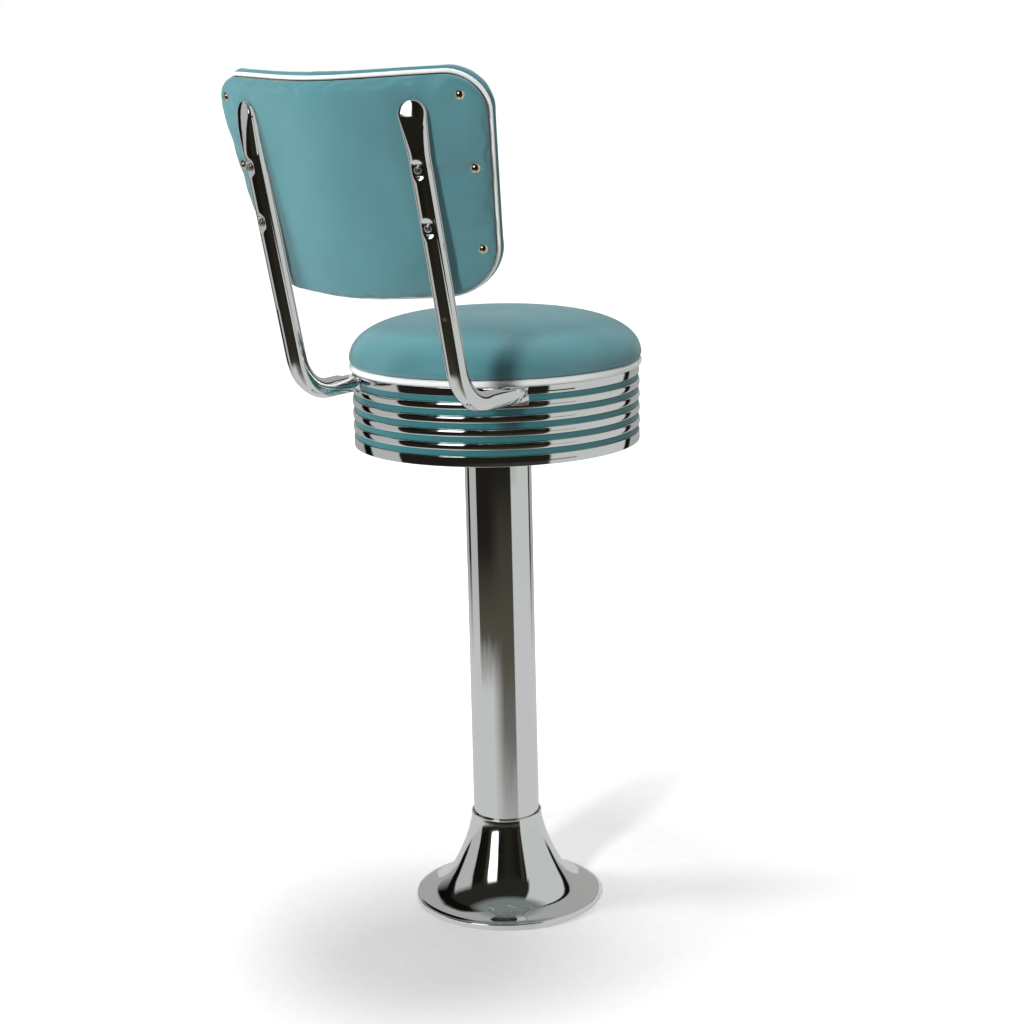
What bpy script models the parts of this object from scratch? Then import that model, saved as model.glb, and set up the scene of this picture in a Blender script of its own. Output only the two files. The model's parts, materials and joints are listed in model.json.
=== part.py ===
"""Bolt-down counter stool with a ribbed swivel seat and an upholstered back.

Metres, +Z up, origin on the floor at the centre of the base.  The column axis is Z.
The sitter faces -Y and the back is on the +Y side.

A chromed tube column is welded over a floor flange that a loose bell cover hides.
The seat turns on a spindle that runs in two bushes and a ball thrust bearing in the column
head.  Two bent tubes under the seat board carry the curved, V-shaped back.
"""
from math import atan2, cos, hypot, pi, radians, sin, tan

import bmesh
import bpy
from mathutils import Matrix, Vector

# ---- fits -------------------------------------------------------------------
GAP = 0.0003                 # between pieces that touch
RUNNING_GAP = 0.00006        # spindle in its bushes, radial
TURNED_STEPS = 32
SMALL_STEPS = 24
BUSH_STEPS = 36              # enough sides for the spindle to turn inside its bush

# ---- column and base --------------------------------------------------------
COLUMN_RADIUS = 0.04445      # 3 1/2 inch tube
COLUMN_WALL = 0.0020
FLANGE_RADIUS = 0.098
FLANGE_THICKNESS = 0.008
FLANGE_BOLT_CIRCLE = 0.078   # radius
FLANGE_HOLE_RADIUS = 0.0055
PLUG_RADIUS = COLUMN_RADIUS - COLUMN_WALL - GAP
PLUG_HEIGHT = 0.042
PLUG_BORE = 0.030
BELL_RADIUS = 0.1264
BELL_THICKNESS = 0.0012
BELL_HEIGHT = 0.1245
BELL_PROFILE = (             # radius and height down the outside, under the rolled lip
    (0.0475, 0.1200), (0.0495, 0.1080), (0.0544, 0.0900), (0.0619, 0.0700), (0.0721, 0.0505),
    (0.0835, 0.0333), (0.0968, 0.0203), (0.1110, 0.0130), (0.1230, 0.0090))
BELL_RIM_HEIGHT = 0.0055

# ---- seat -------------------------------------------------------------------
RING_RADIUS = 0.188
RING_BOTTOM = 0.6413
RING_TOP = 0.7405
RING_INNER = 0.1848
GROOVE_COUNT = 5
GROOVE_PITCH = 0.0170
GROOVE_WIDTH = 0.0078
GROOVE_DEPTH = 0.0024
FIRST_GROOVE_TOP = 0.7300
RIB_CROWN = 0.0006           # the ribs stand this far proud of the plain bands
INLAY_THICKNESS = 0.0010
HOOP_OUTER = RING_INNER - GAP
HOOP_INNER = 0.1725
HOOP_BOTTOM = 0.6440
BOARD_BOTTOM = 0.7412
BOARD_THICKNESS = 0.0120
BOARD_RADIUS = 0.1835
PIPING_RADIUS = 0.0040
PIPING_CENTRE_RADIUS = 0.188
PIPING_CENTRE_Z = 0.7450
COVER_RADIUS = 0.191
COVER_WIDEST_Z = 0.7509
COVER_RISE = 0.0626
COVER_BOTTOM = PIPING_CENTRE_Z + PIPING_RADIUS + GAP
COVER_THICKNESS = 0.0014
DOME_SIDE_POWER = 0.648      # roundness of the dome's shoulder
DOME_TOP_POWER = 0.835

# ---- swivel, measured down from the seat board ------------------------------
PLATE_SIZE = 0.170
PLATE_THICKNESS = 0.0044
PLATE_TOP = BOARD_BOTTOM - GAP
PLATE_BOTTOM = PLATE_TOP - PLATE_THICKNESS
PLATE_CORNER = 0.015
PLATE_SCREW_OFFSET = 0.066
PLATE_SCREW_LENGTH = 0.0145
PLATE_SCREW_HEAD_RADIUS = 0.0062
PLATE_SCREW_HEAD_HEIGHT = 0.0030
PLATE_HOLE_DEPTH = 0.0105    # in the seat board
BOLT_SHANK_RADIUS = 0.0029   # of the plate screws and the frame bolts
BOLT_HOLE_RADIUS = 0.0034
RACE_THICKNESS = 0.0026
RACE_OUTER = 0.030
BALL_RADIUS = 0.0030
BALL_CIRCLE = 0.0222
BALL_COUNT = 10
BALL_GAP = 0.00006
UPPER_RACE_TOP = PLATE_BOTTOM - GAP
UPPER_RACE_BOTTOM = UPPER_RACE_TOP - RACE_THICKNESS
BALL_Z = UPPER_RACE_BOTTOM - BALL_RADIUS - BALL_GAP
LOWER_RACE_TOP = BALL_Z - BALL_RADIUS - BALL_GAP
LOWER_RACE_BOTTOM = LOWER_RACE_TOP - RACE_THICKNESS
HEAD_TOP = LOWER_RACE_BOTTOM - GAP
HEAD_FLANGE = 0.0085
HEAD_FLANGE_RADIUS = COLUMN_RADIUS - 0.0006
HEAD_BOTTOM = HEAD_TOP - 0.090
COLUMN_TOP = HEAD_TOP - HEAD_FLANGE - GAP
SPINDLE_RADIUS = 0.0127
WASHER_RADIUS = 0.0230
WASHER_THICKNESS = 0.0028
NUT_RADIUS = 0.0215
NUT_HEIGHT = 0.0130
SPINDLE_BOTTOM = HEAD_BOTTOM - 0.024
HEAD_BORE = 0.0165
BUSH_LENGTH = 0.026
BUSH_OUTER = HEAD_BORE - GAP
BUSH_BORE = SPINDLE_RADIUS + RUNNING_GAP

# ---- back tubes -------------------------------------------------------------
TUBE_X = 0.121
TUBE_RADIUS = 0.0127         # 1 inch tube
TUBE_WALL = 0.0016
TUBE_SIDES = 12
TUBE_RECLINE = radians(13.4)
TUBE_TIP = (0.3343, 1.0910)  # Y and Z of the top end
TUBE_RUN_Z = 0.7315          # height of the lower run
TUBE_BEND_RADIUS = 0.062
TUBE_END_Y = 0.060
SPOON_HALF_WIDTH = 0.0168
SPOON_REAR = 0.0055          # rear face of the flattened tip, from the tube's axis
SPOON_LENGTH = 0.012
TAPER_LENGTH = 0.062
SOLID_TIP = 0.044            # the tube is pressed shut over this length
DIMPLE_DEPTH = 0.0030
DIMPLE_HALF_LENGTH = 0.013
DIMPLE_FLAT = 0.006          # half the length of its flat floor
CRUSH_TOP = 0.7402           # the run is pressed down to this height inside the ring
CRUSH_Y = 0.158
BACK_SCREW_HEIGHTS = (0.950, 1.0165)
SCREW_TURN = radians(12.0)   # the screws lean outward by this much
SCREW_RADIUS = 0.0026
SCREW_HOLE_RADIUS = 0.0032
SCREW_HEAD_RADIUS = 0.0048
SCREW_HEAD_HEIGHT = 0.0026
BOARD_BOLT_YS = (0.074, 0.106)
BOARD_BOLT_DEPTH = 0.0100    # in the seat board
BOARD_BOLT_HEAD_RADIUS = 0.0065
BOARD_BOLT_HEAD_HEIGHT = 0.0040
SLOT_HALF_WIDTH = 0.0146
SLOT_BOTTOM = 0.7180
SLOT_FRONT_Y = 0.100         # the slots' cutters start inside the ring and end behind it
SLOT_REAR_Y = 0.200
PRESS_GAP = 0.0006           # between the back's covering and the tubes' flattened fronts

# ---- back -------------------------------------------------------------------
BACK_RECLINE = radians(17.0)
BACK_ORIGIN = Vector((0.0, 0.2859, 0.8426))   # middle of the rear face's lower edge
BACK_HEIGHT = 0.2735
BACK_TOP_HALF = 0.2075
BACK_BOTTOM_HALF = 0.1745
BACK_TOP_CORNER = 0.046
BACK_BOTTOM_CORNER = 0.074
BACK_CROWN = 0.0145          # rise of the top edge's middle
BACK_ARCH = 0.0100           # rise of the bottom edge's middle
BACK_FACE_INSET = 0.018      # the faces of all the slabs share their lines inside this
BACK_BEND = 0.100            # size of the bend between the two wings
WING_SLOPE = 0.53
REAR_COVER_THICKNESS = 0.0115
REAR_COVER_INSET = 0.0068    # its edge stands inside the piping
REAR_COVER_ROUNDING = 0.0080
BACK_BOARD_THICKNESS = 0.0060
BACK_BOARD_INSET = 0.0085
BACK_PIPING_RADIUS = 0.0030
BACK_PIPING_INSET = 0.0045   # of its centre line
FRONT_PAD_THICKNESS = 0.0250
FRONT_PAD_REAR_ROUNDING = 0.0040
FRONT_PAD_ROUNDING = 0.0160
SMALL_ROUNDING = 0.0010
NAIL_PLACES = ((0.171, 0.249), (0.172, 0.163), (0.163, 0.067))
NAIL_HEAD_RADIUS = 0.0060
NAIL_HEAD_HEIGHT = 0.0030
NAIL_SHANK_RADIUS = 0.0009
NAIL_HOLE_RADIUS = 0.0014
NAIL_LENGTH = 0.0100

BACK_UP = Vector((0.0, sin(BACK_RECLINE), cos(BACK_RECLINE)))
BACK_REAR = Vector((0.0, cos(BACK_RECLINE), -sin(BACK_RECLINE)))
TUBE_REAR = Vector((0.0, cos(TUBE_RECLINE), -sin(TUBE_RECLINE)))


def clear_scene():
    for thing in list(bpy.data.objects):
        bpy.data.objects.remove(thing, do_unlink=True)


def new_collection(name):
    made = bpy.data.collections.new(name)
    bpy.context.scene.collection.children.link(made)
    return made


clear_scene()
STOOL = new_collection("counter_stool")
CUTTERS = new_collection("cutters")


def finish(name, colour, roughness, metallic=0.0):
    made = bpy.data.materials.new(name)
    made.use_nodes = True
    shader = made.node_tree.nodes["Principled BSDF"]
    shader.inputs["Base Color"].default_value = (*colour, 1.0)
    shader.inputs["Roughness"].default_value = roughness
    shader.inputs["Metallic"].default_value = metallic
    return made


CHROME = ((0.86, 0.87, 0.88), 0.06, 1.0)
STEEL = ((0.45, 0.46, 0.47), 0.40, 1.0)
ZINC = ((0.62, 0.63, 0.64), 0.28, 1.0)
BRONZE = ((0.55, 0.38, 0.20), 0.35, 1.0)
BLACK_STEEL = ((0.05, 0.05, 0.055), 0.55, 0.6)
VINYL = ((0.09, 0.25, 0.28), 0.42, 0.0)
PIPING = ((0.80, 0.78, 0.73), 0.45, 0.0)
PLYWOOD = ((0.58, 0.42, 0.25), 0.70, 0.0)
FOAM = ((0.86, 0.80, 0.60), 0.95, 0.0)
NAIL = ((0.70, 0.62, 0.52), 0.18, 1.0)


def add_object(name, mesh, look=None, group=None):
    made = bpy.data.objects.new(name, mesh)
    (group or STOOL).objects.link(made)
    if look:
        mesh.materials.append(finish(name, *look))
    return made


def object_from(name, bm, look=None, group=None):
    bmesh.ops.recalc_face_normals(bm, faces=bm.faces)
    mesh = bpy.data.meshes.new(name)
    bm.to_mesh(mesh)
    bm.free()
    mesh.shade_smooth()
    mesh.set_sharp_from_angle(angle=radians(35))
    return add_object(name, mesh, look, group)


def as_cutter(thing):
    thing.hide_render = True
    thing.display_type = 'WIRE'
    return thing


def boolean(target, tool, operation='DIFFERENCE'):
    step = target.modifiers.new(tool.name, 'BOOLEAN')
    step.operation = operation
    step.solver = 'EXACT'
    step.object = tool
    return target


def turned(name, profile, look, steps=TURNED_STEPS, closed=True, thickness=0.0):
    """Revolve (radius, height) points about Z; the outer side runs from top to bottom."""
    count = len(profile)
    edges = [(i, i + 1) for i in range(count - 1)]
    if closed:
        edges.append((count - 1, 0))
    mesh = bpy.data.meshes.new(name)
    mesh.from_pydata([(r, 0.0, z) for r, z in profile], edges, [])
    made = add_object(name, mesh, look)
    screw = made.modifiers.new("turn", 'SCREW')
    screw.steps = steps
    screw.render_steps = steps
    screw.use_merge_vertices = True
    screw.merge_threshold = 0.00001
    if thickness:
        wall = made.modifiers.new("wall", 'SOLIDIFY')
        wall.thickness = thickness
        wall.offset = -1.0
    return made


def ring_profile(outer, inner, top, bottom):
    return [(outer, top), (outer, bottom), (inner, bottom), (inner, top)]


def disc_profile(radius, top, bottom):
    return [(0.0, top), (radius, top), (radius, bottom), (0.0, bottom)]


def add_cylinder(bm, start, end, radius, segments=12):
    start, end = Vector(start), Vector(end)
    along = end - start
    turn = along.to_track_quat('Z', 'Y').to_matrix().to_4x4()
    place = Matrix.Translation((start + end) / 2) @ turn
    bmesh.ops.create_cone(bm, cap_ends=True, segments=segments, radius1=radius,
                          radius2=radius, depth=along.length, matrix=place)


def rods(name, spans, segments=12):
    """A cutter holding a cylinder for each (start, end, radius)."""
    bm = bmesh.new()
    for start, end, radius in spans:
        add_cylinder(bm, start, end, radius, segments)
    return as_cutter(object_from(name, bm, group=CUTTERS))


def headed_pin(name, head, direction, head_radius, head_height, shank_radius, length, look,
               segments=8):
    """A fastener: a low domed head standing on `head`, and a shank going along `direction`."""
    direction = Vector(direction).normalized()
    turn = (-direction).to_track_quat('Z', 'Y').to_matrix().to_4x4()
    place = Matrix.Translation(Vector(head)) @ turn
    outline = [(shank_radius, -length), (shank_radius, 0.0), (head_radius, 0.0),
               (head_radius * 0.62, head_height)]
    bm = bmesh.new()
    rings = []
    for radius, height in outline:
        ring = []
        for k in range(segments):
            angle = 2 * pi * k / segments
            point = place @ Vector((radius * cos(angle), radius * sin(angle), height))
            ring.append(bm.verts.new(point))
        rings.append(ring)
    bridge(bm, rings)
    return object_from(name, bm, look)


def bridge(bm, rings):
    """Skin a row of equal closed loops and close both ends with a fan."""
    count = len(rings[0])
    for a, b in zip(rings, rings[1:]):
        for k in range(count):
            n = (k + 1) % count
            bm.faces.new((a[k], a[n], b[n], b[k]))
    caps = [bm.faces.new(rings[0]), bm.faces.new(rings[-1])]
    bmesh.ops.poke(bm, faces=caps)


def loft(name, loops, look):
    """Skin the loops; the shorter diagonals keep neighbouring curved faces parallel."""
    bm = bmesh.new()
    bridge(bm, [[bm.verts.new(point) for point in loop] for loop in loops])
    bmesh.ops.triangulate(bm, faces=bm.faces, quad_method='SHORT_EDGE')
    return object_from(name, bm, look)


def smooth_step(value):
    value = min(max(value, 0.0), 1.0)
    return value * value * (3.0 - 2.0 * value)


# ---- base and column --------------------------------------------------------
def build_base():
    flange = turned("floor_flange", [
        (PLUG_RADIUS, FLANGE_THICKNESS + PLUG_HEIGHT),
        (PLUG_RADIUS, FLANGE_THICKNESS),
        (FLANGE_RADIUS, FLANGE_THICKNESS),
        (FLANGE_RADIUS, 0.0),
        (0.0, 0.0),
        (0.0, FLANGE_THICKNESS),
        (PLUG_BORE, FLANGE_THICKNESS),
        (PLUG_BORE, FLANGE_THICKNESS + PLUG_HEIGHT)], BLACK_STEEL)
    holes = []
    for k in range(4):
        angle = pi / 4 + k * pi / 2
        x = FLANGE_BOLT_CIRCLE * cos(angle)
        y = FLANGE_BOLT_CIRCLE * sin(angle)
        holes.append(((x, y, -0.01), (x, y, 0.02), FLANGE_HOLE_RADIUS))
    boolean(flange, rods("floor_bolt_holes", holes))

    turned("column_tube", ring_profile(COLUMN_RADIUS, COLUMN_RADIUS - COLUMN_WALL,
                                       COLUMN_TOP, FLANGE_THICKNESS + GAP), CHROME)
    lip = [(0.0468, BELL_HEIGHT), (0.0478, BELL_HEIGHT - 0.0015)]
    bell = lip + list(BELL_PROFILE) + [(BELL_RADIUS, BELL_RIM_HEIGHT), (BELL_RADIUS, 0.0)]
    turned("bell_cover", bell, CHROME, closed=False, thickness=BELL_THICKNESS)


# ---- swivel -----------------------------------------------------------------
def build_swivel():
    flange_bottom = HEAD_TOP - HEAD_FLANGE
    turned("swivel_head", [
        (HEAD_FLANGE_RADIUS, HEAD_TOP), (HEAD_FLANGE_RADIUS, flange_bottom),
        (PLUG_RADIUS, flange_bottom), (PLUG_RADIUS, HEAD_BOTTOM),
        (HEAD_BORE, HEAD_BOTTOM), (HEAD_BORE, HEAD_TOP)], STEEL)
    for name, top in (("upper_bush", HEAD_TOP), ("lower_bush", HEAD_BOTTOM + BUSH_LENGTH)):
        turned(name, ring_profile(BUSH_OUTER, BUSH_BORE, top, top - BUSH_LENGTH), BRONZE,
               BUSH_STEPS)
    race_bore = SPINDLE_RADIUS + 2 * GAP
    turned("lower_race", ring_profile(RACE_OUTER, race_bore, LOWER_RACE_TOP,
                                      LOWER_RACE_BOTTOM), STEEL, SMALL_STEPS)
    turned("upper_race", ring_profile(RACE_OUTER, race_bore, UPPER_RACE_TOP,
                                      UPPER_RACE_BOTTOM), STEEL, SMALL_STEPS)
    build_ball_cage()
    turned("swivel_spindle", disc_profile(SPINDLE_RADIUS, PLATE_BOTTOM - GAP, SPINDLE_BOTTOM),
           STEEL, BUSH_STEPS)
    washer_top = HEAD_BOTTOM - 0.0006
    washer_bottom = washer_top - WASHER_THICKNESS
    turned("spindle_washer", ring_profile(WASHER_RADIUS, race_bore, washer_top, washer_bottom),
           ZINC, SMALL_STEPS)
    build_spindle_nut(washer_bottom - GAP, race_bore)
    return build_swivel_plate()


def build_ball_cage():
    half_width = 0.0050
    half_height = 0.0014
    cage = turned("ball_cage", ring_profile(BALL_CIRCLE + half_width, BALL_CIRCLE - half_width,
                                            BALL_Z + half_height, BALL_Z - half_height),
                  BRONZE, SMALL_STEPS)
    bm = bmesh.new()
    for k in range(BALL_COUNT):
        angle = 2 * pi * k / BALL_COUNT
        place = Matrix.Translation((BALL_CIRCLE * cos(angle), BALL_CIRCLE * sin(angle), BALL_Z))
        bmesh.ops.create_uvsphere(bm, u_segments=8, v_segments=4, radius=BALL_RADIUS,
                                  matrix=place)
    boolean(cage, as_cutter(object_from("ball_row", bm, group=CUTTERS)), 'UNION')


def build_spindle_nut(top, bore):
    bm = bmesh.new()
    add_cylinder(bm, (0, 0, top - NUT_HEIGHT), (0, 0, top), NUT_RADIUS, segments=6)
    nut = object_from("spindle_nut", bm, ZINC)
    reach = 0.01
    boolean(nut, rods("spindle_nut_bore", [((0, 0, top - NUT_HEIGHT - reach),
                                            (0, 0, top + reach), bore)]))


def build_swivel_plate():
    bm = bmesh.new()
    middle = Matrix.Translation((0, 0, (PLATE_TOP + PLATE_BOTTOM) / 2))
    size = Matrix.Diagonal((PLATE_SIZE, PLATE_SIZE, PLATE_THICKNESS, 1.0))
    bmesh.ops.create_cube(bm, size=1.0, matrix=middle @ size)
    upright = [e for e in bm.edges if abs(e.verts[0].co.z - e.verts[1].co.z) > PLATE_THICKNESS / 2]
    bmesh.ops.bevel(bm, geom=upright, offset=PLATE_CORNER, segments=4, affect='EDGES', profile=0.5)
    plate = object_from("swivel_plate", bm, BLACK_STEEL)
    spans = []
    reach = 0.01
    for x, y in square(PLATE_SCREW_OFFSET):
        spans.append(((x, y, PLATE_BOTTOM - reach), (x, y, BOARD_BOTTOM + PLATE_HOLE_DEPTH),
                      BOLT_HOLE_RADIUS))
    holes = rods("plate_screw_holes", spans)
    boolean(plate, holes)
    head_z = PLATE_BOTTOM - GAP
    for number, (x, y) in enumerate(square(PLATE_SCREW_OFFSET), start=1):
        headed_pin(f"plate_screw_{number}", (x, y, head_z), (0, 0, 1), PLATE_SCREW_HEAD_RADIUS,
                   PLATE_SCREW_HEAD_HEIGHT, BOLT_SHANK_RADIUS, PLATE_SCREW_LENGTH, ZINC)
    return holes


def square(offset):
    return [(offset, offset), (-offset, offset), (-offset, -offset), (offset, -offset)]


# ---- seat -------------------------------------------------------------------
def groove_top(number):
    return FIRST_GROOVE_TOP - number * GROOVE_PITCH


def ribbed_outline():
    """Outer side of the ring from top to bottom: bands, grooves and crowned ribs."""
    floor = RING_RADIUS - GROOVE_DEPTH
    shoulder = RING_RADIUS - 0.0009
    outline = [(RING_RADIUS - 0.0006, RING_TOP), (RING_RADIUS, RING_TOP - 0.0006),
               (RING_RADIUS, groove_top(0))]
    for number in range(GROOVE_COUNT):
        top = groove_top(number)
        bottom = top - GROOVE_WIDTH
        outline += [(floor, top), (floor, bottom)]
        if number < GROOVE_COUNT - 1:
            rib = GROOVE_PITCH - GROOVE_WIDTH
            outline += [(shoulder, bottom), (RING_RADIUS + RIB_CROWN, bottom - rib / 2),
                        (shoulder, bottom - rib)]
        else:
            outline.append((RING_RADIUS, bottom))
    outline += [(RING_RADIUS, RING_BOTTOM + 0.0006), (RING_RADIUS - 0.0006, RING_BOTTOM)]
    return outline


def tube_slots(name, top):
    """Boxes that let the two tubes through the rear of the seat's rim."""
    bm = bmesh.new()
    for side in (1, -1):
        low = Vector((side * TUBE_X - SLOT_HALF_WIDTH, SLOT_FRONT_Y, SLOT_BOTTOM))
        high = Vector((side * TUBE_X + SLOT_HALF_WIDTH, SLOT_REAR_Y, top))
        place = Matrix.Translation((low + high) / 2) @ Matrix.Diagonal((*(high - low), 1.0))
        bmesh.ops.create_cube(bm, size=1.0, matrix=place)
    return as_cutter(object_from(name, bm, group=CUTTERS))


def build_rim():
    slots = tube_slots("rim_slots", RING_TOP + 0.06)
    ring = turned("ribbed_ring", ribbed_outline() + [(RING_INNER, RING_BOTTOM),
                                                     (RING_INNER, RING_TOP)], CHROME)
    boolean(ring, slots)
    hoop = turned("seat_hoop", ring_profile(HOOP_OUTER, HOOP_INNER, BOARD_BOTTOM - GAP,
                                            HOOP_BOTTOM), PLYWOOD)
    boolean(hoop, slots)
    inner = RING_RADIUS - GROOVE_DEPTH + GAP
    for number in range(GROOVE_COUNT):
        top = groove_top(number) - GAP
        band = ring_profile(inner + INLAY_THICKNESS, inner, top, top - GROOVE_WIDTH + 2 * GAP)
        if number == 0:
            build_split_inlay(band, slots)
        else:
            turned(f"groove_inlay_{number + 1}", band, VINYL)


def build_split_inlay(band, slots):
    """The slots cut the top inlay into a long front strip and a short rear one."""
    divider_depth = 0.2
    bm = bmesh.new()
    size = Matrix.Diagonal((2 * TUBE_X, divider_depth, 0.2, 1.0))
    place = Matrix.Translation((0, 0.03 + divider_depth / 2, 0.72))
    bmesh.ops.create_cube(bm, size=1.0, matrix=place @ size)
    rear_box = as_cutter(object_from("inlay_divider", bm, group=CUTTERS))
    front = turned("groove_inlay_1_front", band, VINYL)
    boolean(boolean(front, slots), rear_box)
    rear = turned("groove_inlay_1_rear", band, VINYL)
    boolean(boolean(rear, slots), rear_box, 'INTERSECT')


def dome_outline(radius, widest, rise, steps=7):
    """Half section of the cushion from the top centre down to its widest height."""
    points = []
    for k in range(steps + 1):
        angle = pi / 2 * (1 - k / steps)
        points.append((radius * cos(angle) ** DOME_SIDE_POWER if k else 0.0,
                       widest + rise * sin(angle) ** DOME_TOP_POWER))
    return points


def build_seat(board_holes):
    board_top = BOARD_BOTTOM + BOARD_THICKNESS
    board = turned("seat_board", disc_profile(BOARD_RADIUS, board_top, BOARD_BOTTOM), PLYWOOD)
    for holes in board_holes:
        boolean(board, holes)
    inset = 2 * COVER_THICKNESS
    foam = dome_outline(COVER_RADIUS - inset, COVER_WIDEST_Z, COVER_RISE - inset)
    foam += [(BOARD_RADIUS + GAP, COVER_WIDEST_Z), (BOARD_RADIUS + GAP, board_top + GAP),
             (0.0, board_top + GAP)]
    turned("seat_foam", foam, FOAM)
    outer = dome_outline(COVER_RADIUS, COVER_WIDEST_Z, COVER_RISE)
    turned("seat_cover", outer + [(COVER_RADIUS, COVER_BOTTOM)], VINYL, closed=False,
           thickness=COVER_THICKNESS)
    round_steps = 6
    bead = []
    for k in range(round_steps):
        angle = pi / 2 - 2 * pi * (k + 0.5) / round_steps
        bead.append((PIPING_CENTRE_RADIUS + PIPING_RADIUS * cos(angle),
                     PIPING_CENTRE_Z + PIPING_RADIUS * sin(angle)))
    turned("seat_piping", bead, PIPING)


# ---- back -------------------------------------------------------------------
def back_depth(x):
    """How far the rear face stands behind the back's origin plane at a place across it."""
    return -WING_SLOPE * (hypot(x, BACK_BEND) - BACK_BEND)


def back_slope(x):
    return -WING_SLOPE * x / hypot(x, BACK_BEND)


def back_point(x, up, proud):
    """World place of a point given across, up the back, and outward from its rear face."""
    slope = back_slope(x)
    length = hypot(1.0, slope)
    across = x - proud * slope / length
    depth = back_depth(x) + proud / length
    return BACK_ORIGIN + Vector((across, 0, 0)) + up * BACK_UP + depth * BACK_REAR


def back_outline(inset=0.0, scale=1.0):
    """Rounded trapezoid of the back as (across, up), anticlockwise from the lower right."""
    corners = [(BACK_BOTTOM_HALF, 0.0, BACK_BOTTOM_CORNER), (BACK_TOP_HALF, BACK_HEIGHT,
               BACK_TOP_CORNER), (-BACK_TOP_HALF, BACK_HEIGHT, BACK_TOP_CORNER),
               (-BACK_BOTTOM_HALF, 0.0, BACK_BOTTOM_CORNER)]
    lean = atan2(BACK_TOP_HALF - BACK_BOTTOM_HALF, BACK_HEIGHT)
    start_angles = (-pi / 2, -lean, pi / 2, pi + lean)
    end_angles = (-lean, pi / 2, pi + lean, 3 * pi / 2)
    corner_steps = 4
    points = []
    for (x, up, radius), first, last in zip(corners, start_angles, end_angles):
        half_turn = (last - first) / 2
        middle = first + half_turn
        reach = radius / cos(half_turn)
        centre_x = x - reach * cos(middle)
        centre_up = up - reach * sin(middle)
        for k in range(corner_steps + 1):
            angle = first + (last - first) * k / corner_steps
            points.append((centre_x + (radius - inset) * cos(angle),
                           centre_up + (radius - inset) * sin(angle)))
    points = fill_long_gaps(points)
    shaped = []
    for x, up in points:
        half = BACK_BOTTOM_HALF + (BACK_TOP_HALF - BACK_BOTTOM_HALF) * up / BACK_HEIGHT
        middle_up = BACK_HEIGHT / 2
        edge_rise = BACK_CROWN if up > middle_up else BACK_ARCH
        rise = edge_rise * (1 - (x / half) ** 2) * abs(up / middle_up - 1)
        shaped.append((x * scale, middle_up + (up + rise - middle_up) * scale))
    return shaped


def fill_long_gaps(points, spacing=0.040):
    filled = []
    for a, b in zip(points, points[1:] + points[:1]):
        pieces = max(1, round(hypot(b[0] - a[0], b[1] - a[1]) / spacing))
        for k in range(pieces):
            filled.append((a[0] + (b[0] - a[0]) * k / pieces, a[1] + (b[1] - a[1]) * k / pieces))
    return filled


def back_slab(name, rear, front, inset, rear_round, front_round, look):
    """A slab that follows the curved back between two depths, with rounded edges."""
    spread = (0.33, 0.64, 0.90)
    loops = [slab_loop(rear, BACK_FACE_INSET, scale) for scale in spread]
    loops += rounded_edge(rear, -rear_round, inset)
    loops += rounded_edge(front, front_round, inset)[::-1]
    loops += [slab_loop(front, BACK_FACE_INSET, scale) for scale in reversed(spread)]
    return loft(name, loops, look)


def slab_loop(proud, inset, scale=1.0):
    return [back_point(x, up, proud) for x, up in back_outline(inset, scale)]


def rounded_edge(face, rounding, inset, steps=2):
    """Loops from the face out to the slab's side, along a quarter circle."""
    size = abs(rounding)
    loops = []
    for k in range(steps + 1):
        angle = pi / 2 * k / steps
        loops.append(slab_loop(face + rounding * (1 - cos(angle)),
                               inset + size * (1 - sin(angle))))
    return loops


def build_back(screw_holes):
    cover = back_slab("back_rear_cover", 0.0, -REAR_COVER_THICKNESS, REAR_COVER_INSET,
                      REAR_COVER_ROUNDING, SMALL_ROUNDING, VINYL)
    boolean(boolean(cover, screw_holes), nail_holes())
    board_rear = -REAR_COVER_THICKNESS - GAP
    board_front = board_rear - BACK_BOARD_THICKNESS
    board = back_slab("back_board", board_rear, board_front, BACK_BOARD_INSET, SMALL_ROUNDING,
                      SMALL_ROUNDING, PLYWOOD)
    boolean(board, screw_holes)
    pad_rear = board_front - GAP
    back_slab("back_front_pad", pad_rear, pad_rear - FRONT_PAD_THICKNESS, GAP,
              FRONT_PAD_REAR_ROUNDING, FRONT_PAD_ROUNDING, VINYL)
    build_back_piping(board_rear - BACK_PIPING_RADIUS)
    build_nails()


def build_back_piping(proud):
    curve = bpy.data.curves.new("back_piping", 'CURVE')
    curve.dimensions = '3D'
    curve.bevel_depth = BACK_PIPING_RADIUS
    curve.bevel_resolution = 0
    curve.materials.append(finish("back_piping", *PIPING))
    path = slab_loop(proud, BACK_PIPING_INSET)
    spline = curve.splines.new('POLY')
    spline.points.add(len(path) - 1)
    for point, place in zip(spline.points, path):
        point.co = (*place, 1.0)
    spline.use_cyclic_u = True
    made = bpy.data.objects.new("back_piping", curve)
    STOOL.objects.link(made)


def nail_axis(side, x, up):
    return back_point(side * x, up, 1.0) - back_point(side * x, up, 0.0)


def nail_holes():
    spans = []
    for side in (1, -1):
        for x, up in NAIL_PLACES:
            spans.append((back_point(side * x, up, 0.004),
                          back_point(side * x, up, -NAIL_LENGTH - 2 * GAP),
                          NAIL_HOLE_RADIUS))
    return rods("nail_holes", spans, segments=6)


def build_nails():
    for side, word in ((1, "left"), (-1, "right")):
        for number, (x, up) in enumerate(NAIL_PLACES, start=1):
            headed_pin(f"back_nail_{word}_{number}", back_point(side * x, up, GAP),
                       -nail_axis(side, x, up), NAIL_HEAD_RADIUS, NAIL_HEAD_HEIGHT,
                       NAIL_SHANK_RADIUS, NAIL_LENGTH, NAIL)


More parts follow.
